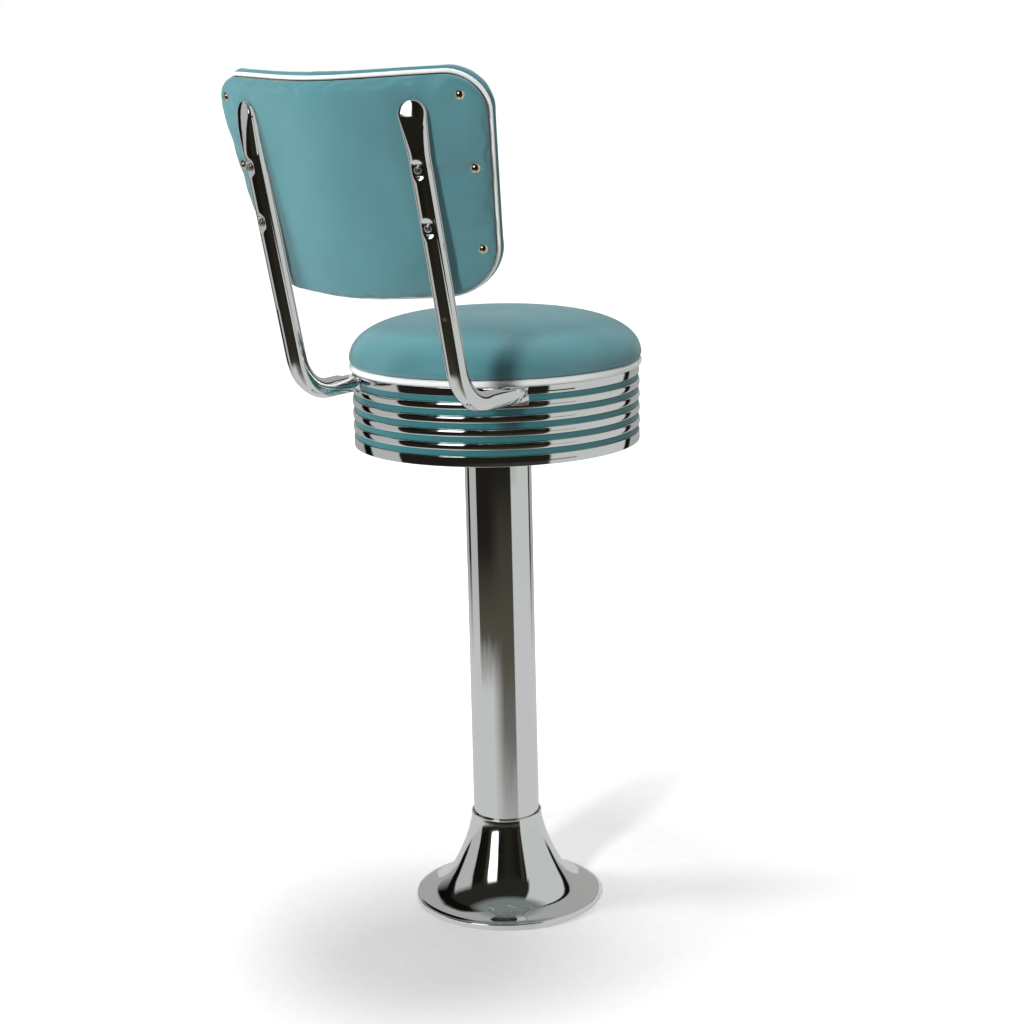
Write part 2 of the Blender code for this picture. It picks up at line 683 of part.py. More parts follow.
# ---- back tubes -------------------------------------------------------------
def tube_stations():
    """Places along a tube from its top tip to its front end: (point, direction)."""
    down = Vector((0.0, -sin(TUBE_RECLINE), -cos(TUBE_RECLINE)))
    ahead = Vector((0.0, -1.0, 0.0))
    tip = Vector((0.0, *TUBE_TIP))
    corner = tip + down * ((TUBE_TIP[1] - TUBE_RUN_Z) / cos(TUBE_RECLINE))
    turn = pi / 2 - TUBE_RECLINE
    setback = TUBE_BEND_RADIUS * tan(turn / 2)
    bend_start = corner - down * setback
    from_tip = [0.0, 0.0025, 0.0070, SPOON_LENGTH, 0.0280, 0.0450, TAPER_LENGTH]
    for height in sorted(BACK_SCREW_HEIGHTS, reverse=True):
        middle = (TUBE_TIP[1] - height) / cos(TUBE_RECLINE)
        for away in (DIMPLE_HALF_LENGTH, DIMPLE_FLAT):
            from_tip += [middle - away, middle + away]
    from_tip.sort()
    places = [(tip + down * s, down) for s in from_tip]
    bend_steps = 6
    centre = bend_start + Vector((0.0, -cos(TUBE_RECLINE), sin(TUBE_RECLINE))) * TUBE_BEND_RADIUS
    for k in range(bend_steps + 1):
        angle = turn * k / bend_steps
        spoke = Matrix.Rotation(-angle, 3, 'X') @ (bend_start - centre)
        places.append((centre + spoke, Matrix.Rotation(-angle, 3, 'X') @ down))
    for y in (CRUSH_Y, 0.146, TUBE_END_Y):
        places.append((Vector((0.0, y, TUBE_RUN_Z)), ahead))
    return places


def tube_side_axis(side):
    """Outward direction square to the back's surface where a tube crosses it."""
    lean = atan2(-back_slope(TUBE_X), 1.0)
    return side * sin(lean), cos(lean)


def room_behind_back(point):
    """Distance from the tube's axis to the back's rear face."""
    offset = Vector((0.0, point.y, point.z)) - BACK_ORIGIN
    lean = atan2(-back_slope(TUBE_X), 1.0)
    return (offset.dot(BACK_REAR) - back_depth(TUBE_X)) * cos(lean)


def tube_section(side, point, along, from_tip, shrink):
    """One loop of a tube; `shrink` is the wall thickness for the inner skin."""
    rear = Vector((1, 0, 0)).cross(along)
    sx, sr = tube_side_axis(side)
    radius = TUBE_RADIUS - shrink
    front_room = radius
    rear_room = radius
    width = radius
    dimple = 0.0
    if point.z > BACK_ORIGIN.z:
        front_room = min(radius, room_behind_back(point) - PRESS_GAP - shrink)
        ramp = (from_tip - SPOON_LENGTH) / (TAPER_LENGTH - SPOON_LENGTH)
        flat = 1.0 - min(max(ramp, 0.0), 1.0)
        rear_room = radius + (SPOON_REAR - TUBE_RADIUS) * flat
        width = radius + (SPOON_HALF_WIDTH - TUBE_RADIUS) * flat
        for height in BACK_SCREW_HEIGHTS:
            away = abs(point.z - height) / cos(TUBE_RECLINE)
            fade = (away - DIMPLE_FLAT) / (DIMPLE_HALF_LENGTH - DIMPLE_FLAT)
            dimple += DIMPLE_DEPTH * (1.0 - smooth_step(fade))
    tip_reach = min(from_tip + 0.0006, SPOON_HALF_WIDTH)
    nose = (1.0 - (1.0 - tip_reach / SPOON_HALF_WIDTH) ** 2) ** 0.5
    rear_room *= 0.55 + 0.45 * nose
    crush = smooth_step((0.175 - point.y) / (0.175 - CRUSH_Y)) if along.y < -0.99 else 0.0
    ceiling = (CRUSH_TOP - shrink - TUBE_RUN_Z) * crush + radius * (1 - crush)
    loop = []
    for k in range(TUBE_SIDES):
        angle = 2 * pi * k / TUBE_SIDES
        x, r = radius * cos(angle), radius * sin(angle)
        outward = x * sx + r * sr
        sideways = (x * sr - r * sx) * width / radius * nose
        outward = min(max(outward, -front_room), rear_room)
        offset_x = outward * sx + sideways * sr
        offset_r = outward * sr - sideways * sx
        proud = offset_x * side * sin(SCREW_TURN) + offset_r * cos(SCREW_TURN)
        excess = max(0.0, proud - radius + dimple) if dimple else 0.0
        offset_x -= excess * side * sin(SCREW_TURN)
        offset_r -= excess * cos(SCREW_TURN)
        place = point + Vector((side * TUBE_X, 0, 0)) + Vector((offset_x, 0, 0)) + rear * offset_r
        if crush:
            place.z = min(place.z, TUBE_RUN_Z + ceiling)
        loop.append(place)
    return loop


def build_tube(side, word, holes):
    stations = tube_stations()
    tip = stations[0][0]
    outer = []
    inner = []
    for point, along in stations:
        from_tip = (point - tip).length if along.z < -0.9 else 1.0
        outer.append(tube_section(side, point, along, from_tip, 0.0))
        if from_tip >= SOLID_TIP:
            inner.append(tube_section(side, point, along, from_tip, TUBE_WALL))
    tube = loft(f"back_tube_{word}", inner + outer[::-1], CHROME)
    for tool in holes:
        boolean(tube, tool)


def screw_axis(side, height):
    """A point on the tube's axis and the outward direction of a back screw there."""
    y = TUBE_TIP[0] - (TUBE_TIP[1] - height) * tan(TUBE_RECLINE)
    outward = Vector((side * sin(SCREW_TURN), 0, 0)) + TUBE_REAR * cos(SCREW_TURN)
    return Vector((side * TUBE_X, y, height)), outward


def build_back_screws():
    """Wood screws through the tubes into the curved board, and the holes for them."""
    spans = []
    for side, word in ((1, "left"), (-1, "right")):
        for number, height in enumerate(BACK_SCREW_HEIGHTS, start=1):
            middle, outward = screw_axis(side, height)
            to_front = room_behind_back(middle) + REAR_COVER_THICKNESS + BACK_BOARD_THICKNESS
            head = TUBE_RADIUS - DIMPLE_DEPTH + GAP
            headed_pin(f"back_screw_{word}_{number}", middle + outward * head, -outward,
                       SCREW_HEAD_RADIUS, SCREW_HEAD_HEIGHT, SCREW_RADIUS,
                       head + to_front - SCREW_RADIUS, ZINC)
            spans.append((middle + outward * 0.03, middle - outward * to_front,
                          SCREW_HOLE_RADIUS))
    return rods("back_screw_holes", spans)


def build_board_bolts():
    """Bolts that clamp each tube's front end up to the seat board."""
    spans = []
    below = TUBE_RUN_Z - TUBE_RADIUS
    top = BOARD_BOTTOM + BOARD_BOLT_DEPTH
    for side, word in ((1, "left"), (-1, "right")):
        for number, y in enumerate(BOARD_BOLT_YS, start=1):
            x = side * TUBE_X
            spans.append(((x, y, below - 0.02), (x, y, top + 2 * GAP), BOLT_HOLE_RADIUS))
            headed_pin(f"frame_bolt_{word}_{number}", (x, y, below - GAP), (0, 0, 1),
                       BOARD_BOLT_HEAD_RADIUS, BOARD_BOLT_HEAD_HEIGHT, BOLT_SHANK_RADIUS,
                       top - below, ZINC)
    return rods("frame_bolt_holes", spans, segments=8)


build_base()
plate_holes = build_swivel()
build_rim()
frame_holes = build_board_bolts()
screw_holes = build_back_screws()
build_seat([plate_holes, frame_holes])
build_tube(1, "left", [frame_holes, screw_holes])
build_tube(-1, "right", [frame_holes, screw_holes])
build_back(screw_holes)
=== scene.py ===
"""Looks for the bolt-down counter stool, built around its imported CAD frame.

Metres, +Z up, in the frame's own place: the column axis is Z, the sitter faces -Y, and the
back is on the +Y side.  Chrome pieces are rebuilt as fine surfaces, the vinyl is padded by
cloth simulation, and every hidden piece keeps its CAD shape with a worked material.
"""
import json
from math import atan2, cos, hypot, pi, radians, sin, sqrt, tan

import bmesh
import bpy
from mathutils import Matrix, Vector

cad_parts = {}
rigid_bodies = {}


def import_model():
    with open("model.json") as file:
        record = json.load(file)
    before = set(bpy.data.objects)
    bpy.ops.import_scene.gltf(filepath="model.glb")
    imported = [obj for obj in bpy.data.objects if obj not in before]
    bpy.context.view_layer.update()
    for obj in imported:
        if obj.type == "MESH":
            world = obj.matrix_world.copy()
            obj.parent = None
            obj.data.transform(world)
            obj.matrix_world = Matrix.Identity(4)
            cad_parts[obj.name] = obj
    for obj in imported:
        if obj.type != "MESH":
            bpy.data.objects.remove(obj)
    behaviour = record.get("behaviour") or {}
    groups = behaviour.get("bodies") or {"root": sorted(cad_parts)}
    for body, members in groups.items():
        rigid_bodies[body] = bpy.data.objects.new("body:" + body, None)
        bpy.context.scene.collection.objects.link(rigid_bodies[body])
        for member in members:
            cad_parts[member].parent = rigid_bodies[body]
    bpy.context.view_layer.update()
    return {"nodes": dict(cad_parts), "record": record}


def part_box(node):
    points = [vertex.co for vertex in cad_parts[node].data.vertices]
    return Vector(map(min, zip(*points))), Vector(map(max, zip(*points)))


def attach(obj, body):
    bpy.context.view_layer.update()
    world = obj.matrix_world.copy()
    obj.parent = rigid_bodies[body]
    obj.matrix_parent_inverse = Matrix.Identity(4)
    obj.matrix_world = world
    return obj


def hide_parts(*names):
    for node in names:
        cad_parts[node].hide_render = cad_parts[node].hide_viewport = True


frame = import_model()

# ---- the back's curved surface, as the CAD has it ---------------------------
BACK_RECLINE = radians(17.0)
BACK_ORIGIN = Vector((0.0, 0.2859, 0.8426))
BACK_HEIGHT = 0.2735
BACK_TOP_HALF = 0.2075
BACK_BOTTOM_HALF = 0.1745
BACK_TOP_CORNER = 0.046
BACK_BOTTOM_CORNER = 0.074
BACK_CROWN = 0.0145
BACK_ARCH = 0.0100
BACK_BEND = 0.100
WING_SLOPE = 0.53
REAR_COVER_THICKNESS = 0.0115
REAR_COVER_INSET = 0.0068
REAR_COVER_ROUNDING = 0.0085
SEAM_ROUNDING = 0.0012
BACK_BOARD_THICKNESS = 0.0060
BACK_PIPING_RADIUS = 0.0030
BACK_PIPING_INSET = 0.0045
FRONT_PAD_THICKNESS = 0.0230
FRONT_PAD_ROUNDING = 0.0160
FRONT_SEAM_ROUNDING = 0.0040
SEAM_HEIGHT = (0.0030, 0.0050)        # stitched part of the rear and of the front cover
NAIL_PLACES = ((0.171, 0.249), (0.172, 0.163), (0.163, 0.067))
NAIL_RADIUS = 0.0060
NAIL_PIT = (0.0034, 0.0085)           # depth and spread of the vinyl pressed in by a nail
NAIL_DISH = (0.0012, 0.022)           # the wider, shallower pull round it
PIPING_EASE = 0.0005                  # how much slimmer the visible welt is than its room
BACK_UP = Vector((0.0, sin(BACK_RECLINE), cos(BACK_RECLINE)))
BACK_REAR = Vector((0.0, cos(BACK_RECLINE), -sin(BACK_RECLINE)))

# ---- pedestal, rim and seat -------------------------------------------------
COLUMN_WALL = 0.0020
COLUMN_CHAMFER = 0.0005
BELL_THICKNESS = 0.0012
BELL_RIM_ROUNDING = 0.0016
BELL_FLARE = ((0.0475, 0.1190), (0.0493, 0.1090), (0.0535, 0.0930), (0.0600, 0.0750),
              (0.0690, 0.0555), (0.0770, 0.0415), (0.0868, 0.0290), (0.0988, 0.0188),
              (0.1110, 0.0130), (0.1205, 0.0098))
RING_RADIUS = 0.1880
RING_INNER_RADIUS = 0.1848
GROOVE_DEPTH = 0.0024
RIB_CROWN = 0.0006                    # a rib's middle stands out from the plain bands
RIB_EDGE = 0.0012                     # and its edges lie back
INLAY_THICKNESS = 0.0014
SMALL_ROUNDING = 0.0006
BAND_ROUNDING = 0.0008
RING_STEPS = 256
SEAT_SIDE_POWER = 0.648               # roundness of the cushion's side and of its top
SEAT_TOP_POWER = 0.835
SEAT_COVER_THICKNESS = 0.0016
SEAT_PIPING_RADIUS = 0.0041

# ---- the bent tubes ---------------------------------------------------------
TUBE_X = 0.121
TUBE_RADIUS = 0.0127
TUBE_RECLINE = radians(13.4)
TUBE_TIP = (0.3343, 1.0910)
TUBE_RUN_Z = 0.7315
TUBE_BEND_RADIUS = 0.062
TUBE_END_Y = 0.060
TUBE_REAR = Vector((0.0, cos(TUBE_RECLINE), -sin(TUBE_RECLINE)))
SPOON_HALF_WIDTH = 0.0168
SPOON_LENGTH = 0.012
TAPER_LENGTH = 0.062
SPOON_DEPTHS = ((0.0, 0.0012), (0.004, 0.0030), (0.010, 0.0054), (0.018, 0.0076),
                (0.030, 0.0097), (0.045, 0.0116), (TAPER_LENGTH, TUBE_RADIUS + 0.0012))
DOME_SHARE = 0.34                     # how far the spoon's sides fall away from its middle
DOME_LENGTH = 0.046
DIMPLE_DEPTH = 0.0030
DIMPLE_HALF_LENGTH = 0.013
DIMPLE_FLAT = 0.006
SCREW_TURN = radians(12.0)
BACK_SCREW_HEIGHTS = (0.950, 1.0165)
CRUSH_TOP = 0.7402
CRUSH_START_Y = 0.185
CRUSH_Y = 0.158
CREASE_DEPTH = 0.0016
CREASE_SPREAD = 0.0022
CREASE_SHIFT = 0.002
SLOT_HALF_WIDTH = 0.0146
SLOT_BOTTOM = 0.7180
SLOT_TOP = 0.80
SLOT_Y = (0.100, 0.200)

# ---- camera -----------------------------------------------------------------
CAMERA_AZIMUTH = radians(214.2)
CAMERA_DISTANCE = 2.6769
CAMERA_HEIGHT = 1.1473
CAMERA_PITCH = 0.2224
CAMERA_YAW = -0.0064
CAMERA_ROLL = -0.0236
CAMERA_LENS = 72.4

# ---- stage ------------------------------------------------------------------
LAMP_AIM = Vector((0.0, 0.0, 0.5))
FLOOR_REACH = 5.0                     # where the floor's ramps end, from the column
FLOOR_HALF = 40.0
FLOOR_DROP = 0.0002

GAP = 0.0003
FADE_BASE = 2.718
PAD_FRAMES = 18
SIDES = (("left", 1), ("right", -1))   # a side's word in the names, and its sign in x


# ---- mesh helpers -----------------------------------------------------------
def slot_of(look):
    """The material slot a look stands for: its name, without a number put after it."""
    return look.name.split(".")[0]


def new_object(name, bm, material=None, body=None, smooth=40):
    bmesh.ops.recalc_face_normals(bm, faces=bm.faces)
    mesh = bpy.data.meshes.new(name)
    bm.to_mesh(mesh)
    bm.free()
    mesh.shade_smooth()
    mesh.set_sharp_from_angle(angle=radians(smooth))
    made = bpy.data.objects.new(name, mesh)
    bpy.context.scene.collection.objects.link(made)
    if material:
        mesh.materials.append(material)
    if body:
        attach(made, body)
    return made


def bridge(bm, rings, wrap=False, caps=True):
    """Skin a row of equal closed loops, optionally joining last to first."""
    count = len(rings[0])
    pairs = list(zip(rings, rings[1:]))
    if wrap:
        pairs.append((rings[-1], rings[0]))
    for a, b in pairs:
        for k in range(count):
            n = (k + 1) % count
            bm.faces.new((a[k], a[n], b[n], b[k]))
    if caps and not wrap:
        ends = [bm.faces.new(rings[0]), bm.faces.new(rings[-1])]
        bmesh.ops.poke(bm, faces=ends)


def loft(name, loops, material, body, wrap=False, smooth=40):
    bm = bmesh.new()
    bridge(bm, [[bm.verts.new(point) for point in loop] for loop in loops], wrap)
    return new_object(name, bm, material, body, smooth)


def circle(radius, height, steps):
    turns = [2 * pi * k / steps for k in range(steps)]
    return [Vector((radius * cos(turn), radius * sin(turn), height)) for turn in turns]


def turned(name, profile, material, body, steps=160, smooth=40):
    """Revolve a closed (radius, height) outline about Z."""
    loops = [circle(radius, height, steps) for radius, height in profile]
    return loft(name, loops, material, body, wrap=True, smooth=smooth)


def through(points, steps=6):
    """A smooth curve through the given points (Catmull-Rom)."""
    ends = [points[0]] + list(points) + [points[-1]]
    curve = []
    for a, b, c, d in zip(ends, ends[1:], ends[2:], ends[3:]):
        for k in range(steps):
            t = k / steps
            curve.append(tuple(
                0.5 * (2 * q + (r - p) * t + (2 * p - 5 * q + 4 * r - s) * t * t
                       + (3 * q - p - 3 * r + s) * t ** 3) for p, q, r, s in zip(a, b, c, d)))
    return curve + [tuple(points[-1])]


def arc(centre, radius, first, last, steps=6):
    """Points of a circular arc in a profile, angles in degrees from outward."""
    points = []
    for k in range(steps + 1):
        angle = radians(first + (last - first) * k / steps)
        points.append((centre[0] + radius * cos(angle), centre[1] + radius * sin(angle)))
    return points


def bake(target):
    """Replace an object's mesh by what its modifiers make of it."""
    graph = bpy.context.evaluated_depsgraph_get()
    graph.update()
    mesh = bpy.data.meshes.new_from_object(target.evaluated_get(graph))
    target.modifiers.clear()
    target.data = mesh


def cut(target, tool, operation='DIFFERENCE'):
    step = target.modifiers.new("cut", 'BOOLEAN')
    step.operation = operation
    step.solver = 'EXACT'
    step.object = tool
    bake(target)


def box_tool(boxes):
    bm = bmesh.new()
    for low, high in boxes:
        low, high = Vector(low), Vector(high)
        place = Matrix.Translation((low + high) / 2) @ Matrix.Diagonal((*(high - low), 1.0))
        bmesh.ops.create_cube(bm, size=1.0, matrix=place)
    return new_object("tool", bm)


def remove(*things):
    for thing in things:
        bpy.data.objects.remove(thing, do_unlink=True)


def smooth_step(value):
    value = min(max(value, 0.0), 1.0)
    return value * value * (3.0 - 2.0 * value)


def fade(distance, spread):
    """One at the middle of a dent, dying away smoothly over `spread`."""
    return FADE_BASE ** (-(distance / spread) ** 2)


# ---- node helpers -----------------------------------------------------------
class Nodes:
    """A short way to write a node tree: calls make nodes and link their inputs."""

    def __init__(self, tree):
        self.tree = tree
        self.tree.nodes.clear()

    def make(self, kind, inputs=None, **settings):
        node = self.tree.nodes.new("ShaderNode" + kind)
        for key, value in settings.items():
            setattr(node, key, value)
        for key, value in (inputs or {}).items():
            socket = node.inputs[key]
            if isinstance(value, bpy.types.NodeSocket):
                self.tree.links.new(value, socket)
            else:
                socket.default_value = value
        return node

    def math(self, operation, a, b=0.0):
        return self.make("Math", {0: a, 1: b}, operation=operation).outputs[0]

    def times(self, a, b):
        return self.math('MULTIPLY', a, b)

    def mix(self, factor, a, b):
        return self.make("Mix", {0: factor, 6: a, 7: b}, data_type='RGBA').outputs[2]

    def blend(self, factor, a, b):
        return self.make("Mix", {0: factor, 2: a, 3: b}).outputs[0]

    def noise(self, place, scale, detail=4.0, roughness=0.55):
        return self.make("TexNoise", {"Vector": place, "Scale": scale, "Detail": detail,
                                      "Roughness": roughness}).outputs["Fac"]

    def ramp(self, factor, stops, interpolation='LINEAR'):
        """`stops` are (position, value or colour) pairs."""
        node = self.make("ValToRGB", {"Fac": factor})
        band = node.color_ramp
        band.interpolation = interpolation
        while len(band.elements) > 1:
            band.elements.remove(band.elements[-1])
        for index, (position, value) in enumerate(stops):
            stop = band.elements[0] if index == 0 else band.elements.new(position)
            stop.position = position
            colour = value if isinstance(value, tuple) else (value, value, value)
            stop.color = (*colour, 1.0)
        return node.outputs["Color"]


def new_material(name):
    made = bpy.data.materials.new(name)
    made.use_nodes = True
    nodes = Nodes(made.node_tree)
    place = nodes.make("TexCoord").outputs["Object"]
    return made, nodes, place


def close_material(nodes, inputs, bump=None, bump_distance=0.0001, bump_strength=0.5):
    if bump is not None:
        lifted = nodes.make("Bump", {"Height": bump, "Distance": bump_distance,
                                     "Strength": bump_strength})
        inputs["Normal"] = lifted.outputs[0]
    shader = nodes.make("BsdfPrincipled", inputs)
    nodes.make("OutputMaterial", {"Surface": shader.outputs[0]})


def chrome(name, tint=(0.86, 0.87, 0.88), roughness=0.035, waviness=0.3):
    """Mirror plating with a breath of haze, faint smears and a slow ripple."""
    made, nodes, place = new_material(name)
    smear = nodes.noise(place, 18.0, 5.0)
    haze = nodes.ramp(smear, [(0.42, roughness), (0.62, roughness * 2.2)])
    speck = nodes.noise(place, 900.0, 2.0)
    specks = nodes.ramp(speck, [(0.74, 0.0), (0.80, 1.0)])
    rough = nodes.math('ADD', haze, nodes.times(specks, 0.10))
    shade = nodes.mix(nodes.times(specks, 0.15), (*tint, 1.0), (0.45, 0.44, 0.42, 1.0))
    ripple = nodes.noise(place, 32.0, 1.5)
    close_material(nodes, {"Base Color": shade, "Metallic": 1.0, "Roughness": rough},
                   ripple, 0.0004, waviness)
    return made


def vinyl(name, colour, grain=0.22, roughness=0.42):
    """Satin upholstery vinyl: cell grain, soft mottling and slightly rubbed high spots."""
    made, nodes, place = new_material(name)
    cells = nodes.make("TexVoronoi", {"Vector": place, "Scale": 780.0, "Smoothness": 0.6},
                       feature='SMOOTH_F1').outputs["Distance"]
    fine = nodes.noise(place, 1500.0, 3.0)
    height = nodes.math('ADD', cells, nodes.times(fine, 0.6))
    mottle = nodes.noise(place, 9.0, 4.0)
    dark = tuple(channel * 0.90 for channel in colour)
    light = tuple(min(1.0, channel * 1.08) for channel in colour)
    shade = nodes.ramp(mottle, [(0.30, dark), (0.70, light)])
    rubbed = nodes.noise(place, 26.0, 6.0)
    rough = nodes.ramp(rubbed, [(0.35, roughness - 0.04), (0.68, roughness + 0.06)])
    close_material(nodes, {"Base Color": shade, "Roughness": rough,
                           "Specular IOR Level": 0.50, "Sheen Weight": 0.10,
                           "Sheen Roughness": 0.5, "Coat Weight": 0.06,
                           "Coat Roughness": 0.32}, height, 0.00012, grain)
    return made


def plywood(name):
    """Birch ply: thin light and dark layers across its thickness, grain on its faces."""
    made, nodes, place = new_material(name)
    stretched = nodes.make("Mapping", {"Vector": place, "Scale": (6.0, 60.0, 60.0)})
    grain = nodes.noise(stretched.outputs[0], 3.0, 8.0, 0.65)
    fibre = nodes.noise(place, 700.0, 2.0)
    shade = nodes.ramp(grain, [(0.30, (0.30, 0.18, 0.09)), (0.52, (0.50, 0.34, 0.18)),
                               (0.72, (0.62, 0.46, 0.27))])
    height = nodes.math('ADD', grain, nodes.times(fibre, 0.4))
    close_material(nodes, {"Base Color": shade, "Roughness": 0.68}, height, 0.0003, 0.4)
    return made


def dull_metal(name, colour, roughness, metallic=1.0, scale=240.0, strength=0.25):
    """Turned, plated or powder-coated metal with a fine tooth and a few darker marks."""
    made, nodes, place = new_material(name)
    tooth = nodes.noise(place, scale, 6.0)
    marks = nodes.noise(place, 30.0, 5.0)
    dark = tuple(channel * 0.72 for channel in colour)
    shade = nodes.ramp(marks, [(0.35, dark), (0.55, colour)])
    rough = nodes.ramp(marks, [(0.35, roughness + 0.12), (0.60, roughness)])
    close_material(nodes, {"Base Color": shade, "Metallic": metallic, "Roughness": rough},
                   tooth, 0.0002, strength)
    return made


def foam(name):
    made, nodes, place = new_material(name)
    pores = nodes.make("TexVoronoi", {"Vector": place, "Scale": 420.0})
    stain = nodes.noise(place, 12.0)
    shade = nodes.ramp(stain, [(0.35, (0.62, 0.52, 0.30)), (0.65, (0.80, 0.72, 0.48))])
    close_material(nodes, {"Base Color": shade, "Roughness": 0.95, "Sheen Weight": 0.2},
                   pores.outputs["Distance"], 0.001, 0.8)
    return made


TEAL = (0.072, 0.200, 0.224)
# The inlays' teal below is the seat's teal painted darker and deeper: painted shade for the
# vinyl recessed in the ring's grooves.
GROOVE_SHADED_TEAL = (0.026, 0.146, 0.160)
SEAT_VINYL = vinyl("seat_vinyl", TEAL)
BACK_VINYL = vinyl("back_vinyl", TEAL)
SHADED_INLAY_VINYL = vinyl("inlay_vinyl", GROOVE_SHADED_TEAL, 0.15, 0.38)
PIPING_VINYL = vinyl("piping_vinyl", (0.74, 0.76, 0.745), 0.12, 0.36)
COLUMN_CHROME = chrome("column_chrome", waviness=0.05)
BELL_CHROME = chrome("bell_chrome", waviness=0.35)
RING_CHROME = chrome("ring_chrome", waviness=0.12)
TUBE_CHROME = chrome("tube_chrome", waviness=0.12)
NAIL_METAL = chrome("nail_metal", (0.78, 0.66, 0.52), 0.07, 0.1)
ZINC = dull_metal("zinc", (0.66, 0.67, 0.68), 0.22)
STEEL = dull_metal("turned_steel", (0.42, 0.42, 0.43), 0.34)
BRONZE = dull_metal("bronze", (0.50, 0.32, 0.15), 0.36)
BLACK_STEEL = dull_metal("base_steel", (0.035, 0.035, 0.038), 0.48, 0.3, 420.0, 0.5)
PLYWOOD = plywood("plywood")
FOAM = foam("foam")

LOOKS = (SEAT_VINYL, BACK_VINYL, SHADED_INLAY_VINYL, PIPING_VINYL, COLUMN_CHROME, BELL_CHROME,
         RING_CHROME, TUBE_CHROME, NAIL_METAL, ZINC, STEEL, BRONZE, BLACK_STEEL, PLYWOOD, FOAM)
LOOK_OF_SLOT = {slot_of(look): look for look in LOOKS}


def dress_cad_nodes():
    """Each CAD node takes the look that its material slot names."""
    for part in frame["record"]["subparts"]:
        node = frame["nodes"][part["node"]]
        node.data.materials.clear()
        node.data.materials.append(LOOK_OF_SLOT[part["material_slot"]])


# ---- pedestal ---------------------------------------------------------------
def build_column():
    low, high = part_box("column_tube")
    radius = high.x
    profile = [(radius - COLUMN_CHAMFER, high.z), (radius, high.z - COLUMN_CHAMFER),
               (radius, low.z), (radius - COLUMN_WALL, low.z), (radius - COLUMN_WALL, high.z)]
    column = turned("column_tube_fine", profile, COLUMN_CHROME, "pedestal")
    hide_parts("column_tube")


def build_bell():
    """Spun floor cover: a rolled lip on the column, a long flare, then an upright rim."""
    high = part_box("bell_cover")[1]
    foot = high.x
    top = high.z
    shoulder = foot - BELL_RIM_ROUNDING
    lip = arc((0.0467, top - 0.0012), 0.0011, 120, -60, 7)
    flare = through([(0.0470, top - 0.0026), *BELL_FLARE, (shoulder, 0.0078)], 5)
    rim = arc((shoulder, 0.0062), BELL_RIM_ROUNDING, 75, 0, 5)
    rim += [(foot, 0.0004), (foot - 0.0004, 0.0)]
    outer = lip + flare + rim
    inner = [(foot - BELL_THICKNESS, 0.0), (foot - BELL_THICKNESS, 0.0055)]
    inner += [(r - BELL_THICKNESS * 0.55, z - BELL_THICKNESS * 0.8)
              for r, z in reversed(flare[:-1]) if z - BELL_THICKNESS > 0.006]
    inner.append((0.0456, top - 0.0010))
    bell = turned("bell_cover_fine", outer + inner, BELL_CHROME, "bell", smooth=55)
    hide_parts("bell_cover")


# ---- seat rim ---------------------------------------------------------------
def groove_places():
    """(top, bottom) of each groove, from the inlays that lie in them."""
    places = []
    names = ["groove_inlay_1_front"] + [f"groove_inlay_{n}" for n in range(2, 6)]
    for name in names:
        low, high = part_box(name)
        places.append((high.z + GAP, low.z - GAP))
    return places


def build_ring():
    """The pressed rim: plain bands above and below, and round ribs between its grooves."""
    low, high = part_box("ribbed_ring")
    floor = RING_RADIUS - GROOVE_DEPTH
    band = RING_RADIUS - BAND_ROUNDING
    corner = RING_RADIUS - SMALL_ROUNDING
    grooves = groove_places()
    first_top = grooves[0][0]
    last_bottom = grooves[-1][1]
    profile = arc((band, high.z - BAND_ROUNDING), BAND_ROUNDING, 90, 0, 4)
    profile += arc((corner, first_top + SMALL_ROUNDING), SMALL_ROUNDING, 0, -90, 4)
    for number, (top, bottom) in enumerate(grooves):
        profile += [(floor, top), (floor, bottom)]
        if number + 1 < len(grooves):
            profile += rib(bottom, grooves[number + 1][0])
    profile += arc((corner, last_bottom - SMALL_ROUNDING), SMALL_ROUNDING, 90, 0, 4)
    profile += arc((band, low.z + BAND_ROUNDING), BAND_ROUNDING, 0, -90, 4)
    profile += [(RING_INNER_RADIUS, low.z), (RING_INNER_RADIUS, high.z)]
    ring = turned("ribbed_ring_fine", profile, RING_CHROME, "seat", RING_STEPS)
    slots = slot_tool()
    cut(ring, slots)
    remove(slots)
    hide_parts("ribbed_ring")
    build_inlays(grooves, floor)


def rib(top, bottom):
    """Outline of one rounded rib between two grooves."""
    middle = (top + bottom) / 2
    half = (top - bottom) / 2
    points = []
    for k in range(13):
        angle = radians(90 - 15 * k)
        swell = cos(angle) ** 0.62 if 0 < k < 12 else 0.0
        radius = RING_RADIUS - RIB_EDGE + (RIB_CROWN + RIB_EDGE) * swell
        points.append((radius, middle + half * sin(angle)))
    return points


def slot_tool():
    front, rear = SLOT_Y
    return box_tool([((side * TUBE_X - SLOT_HALF_WIDTH, front, SLOT_BOTTOM),
                      (side * TUBE_X + SLOT_HALF_WIDTH, rear, SLOT_TOP)) for side in (1, -1)])


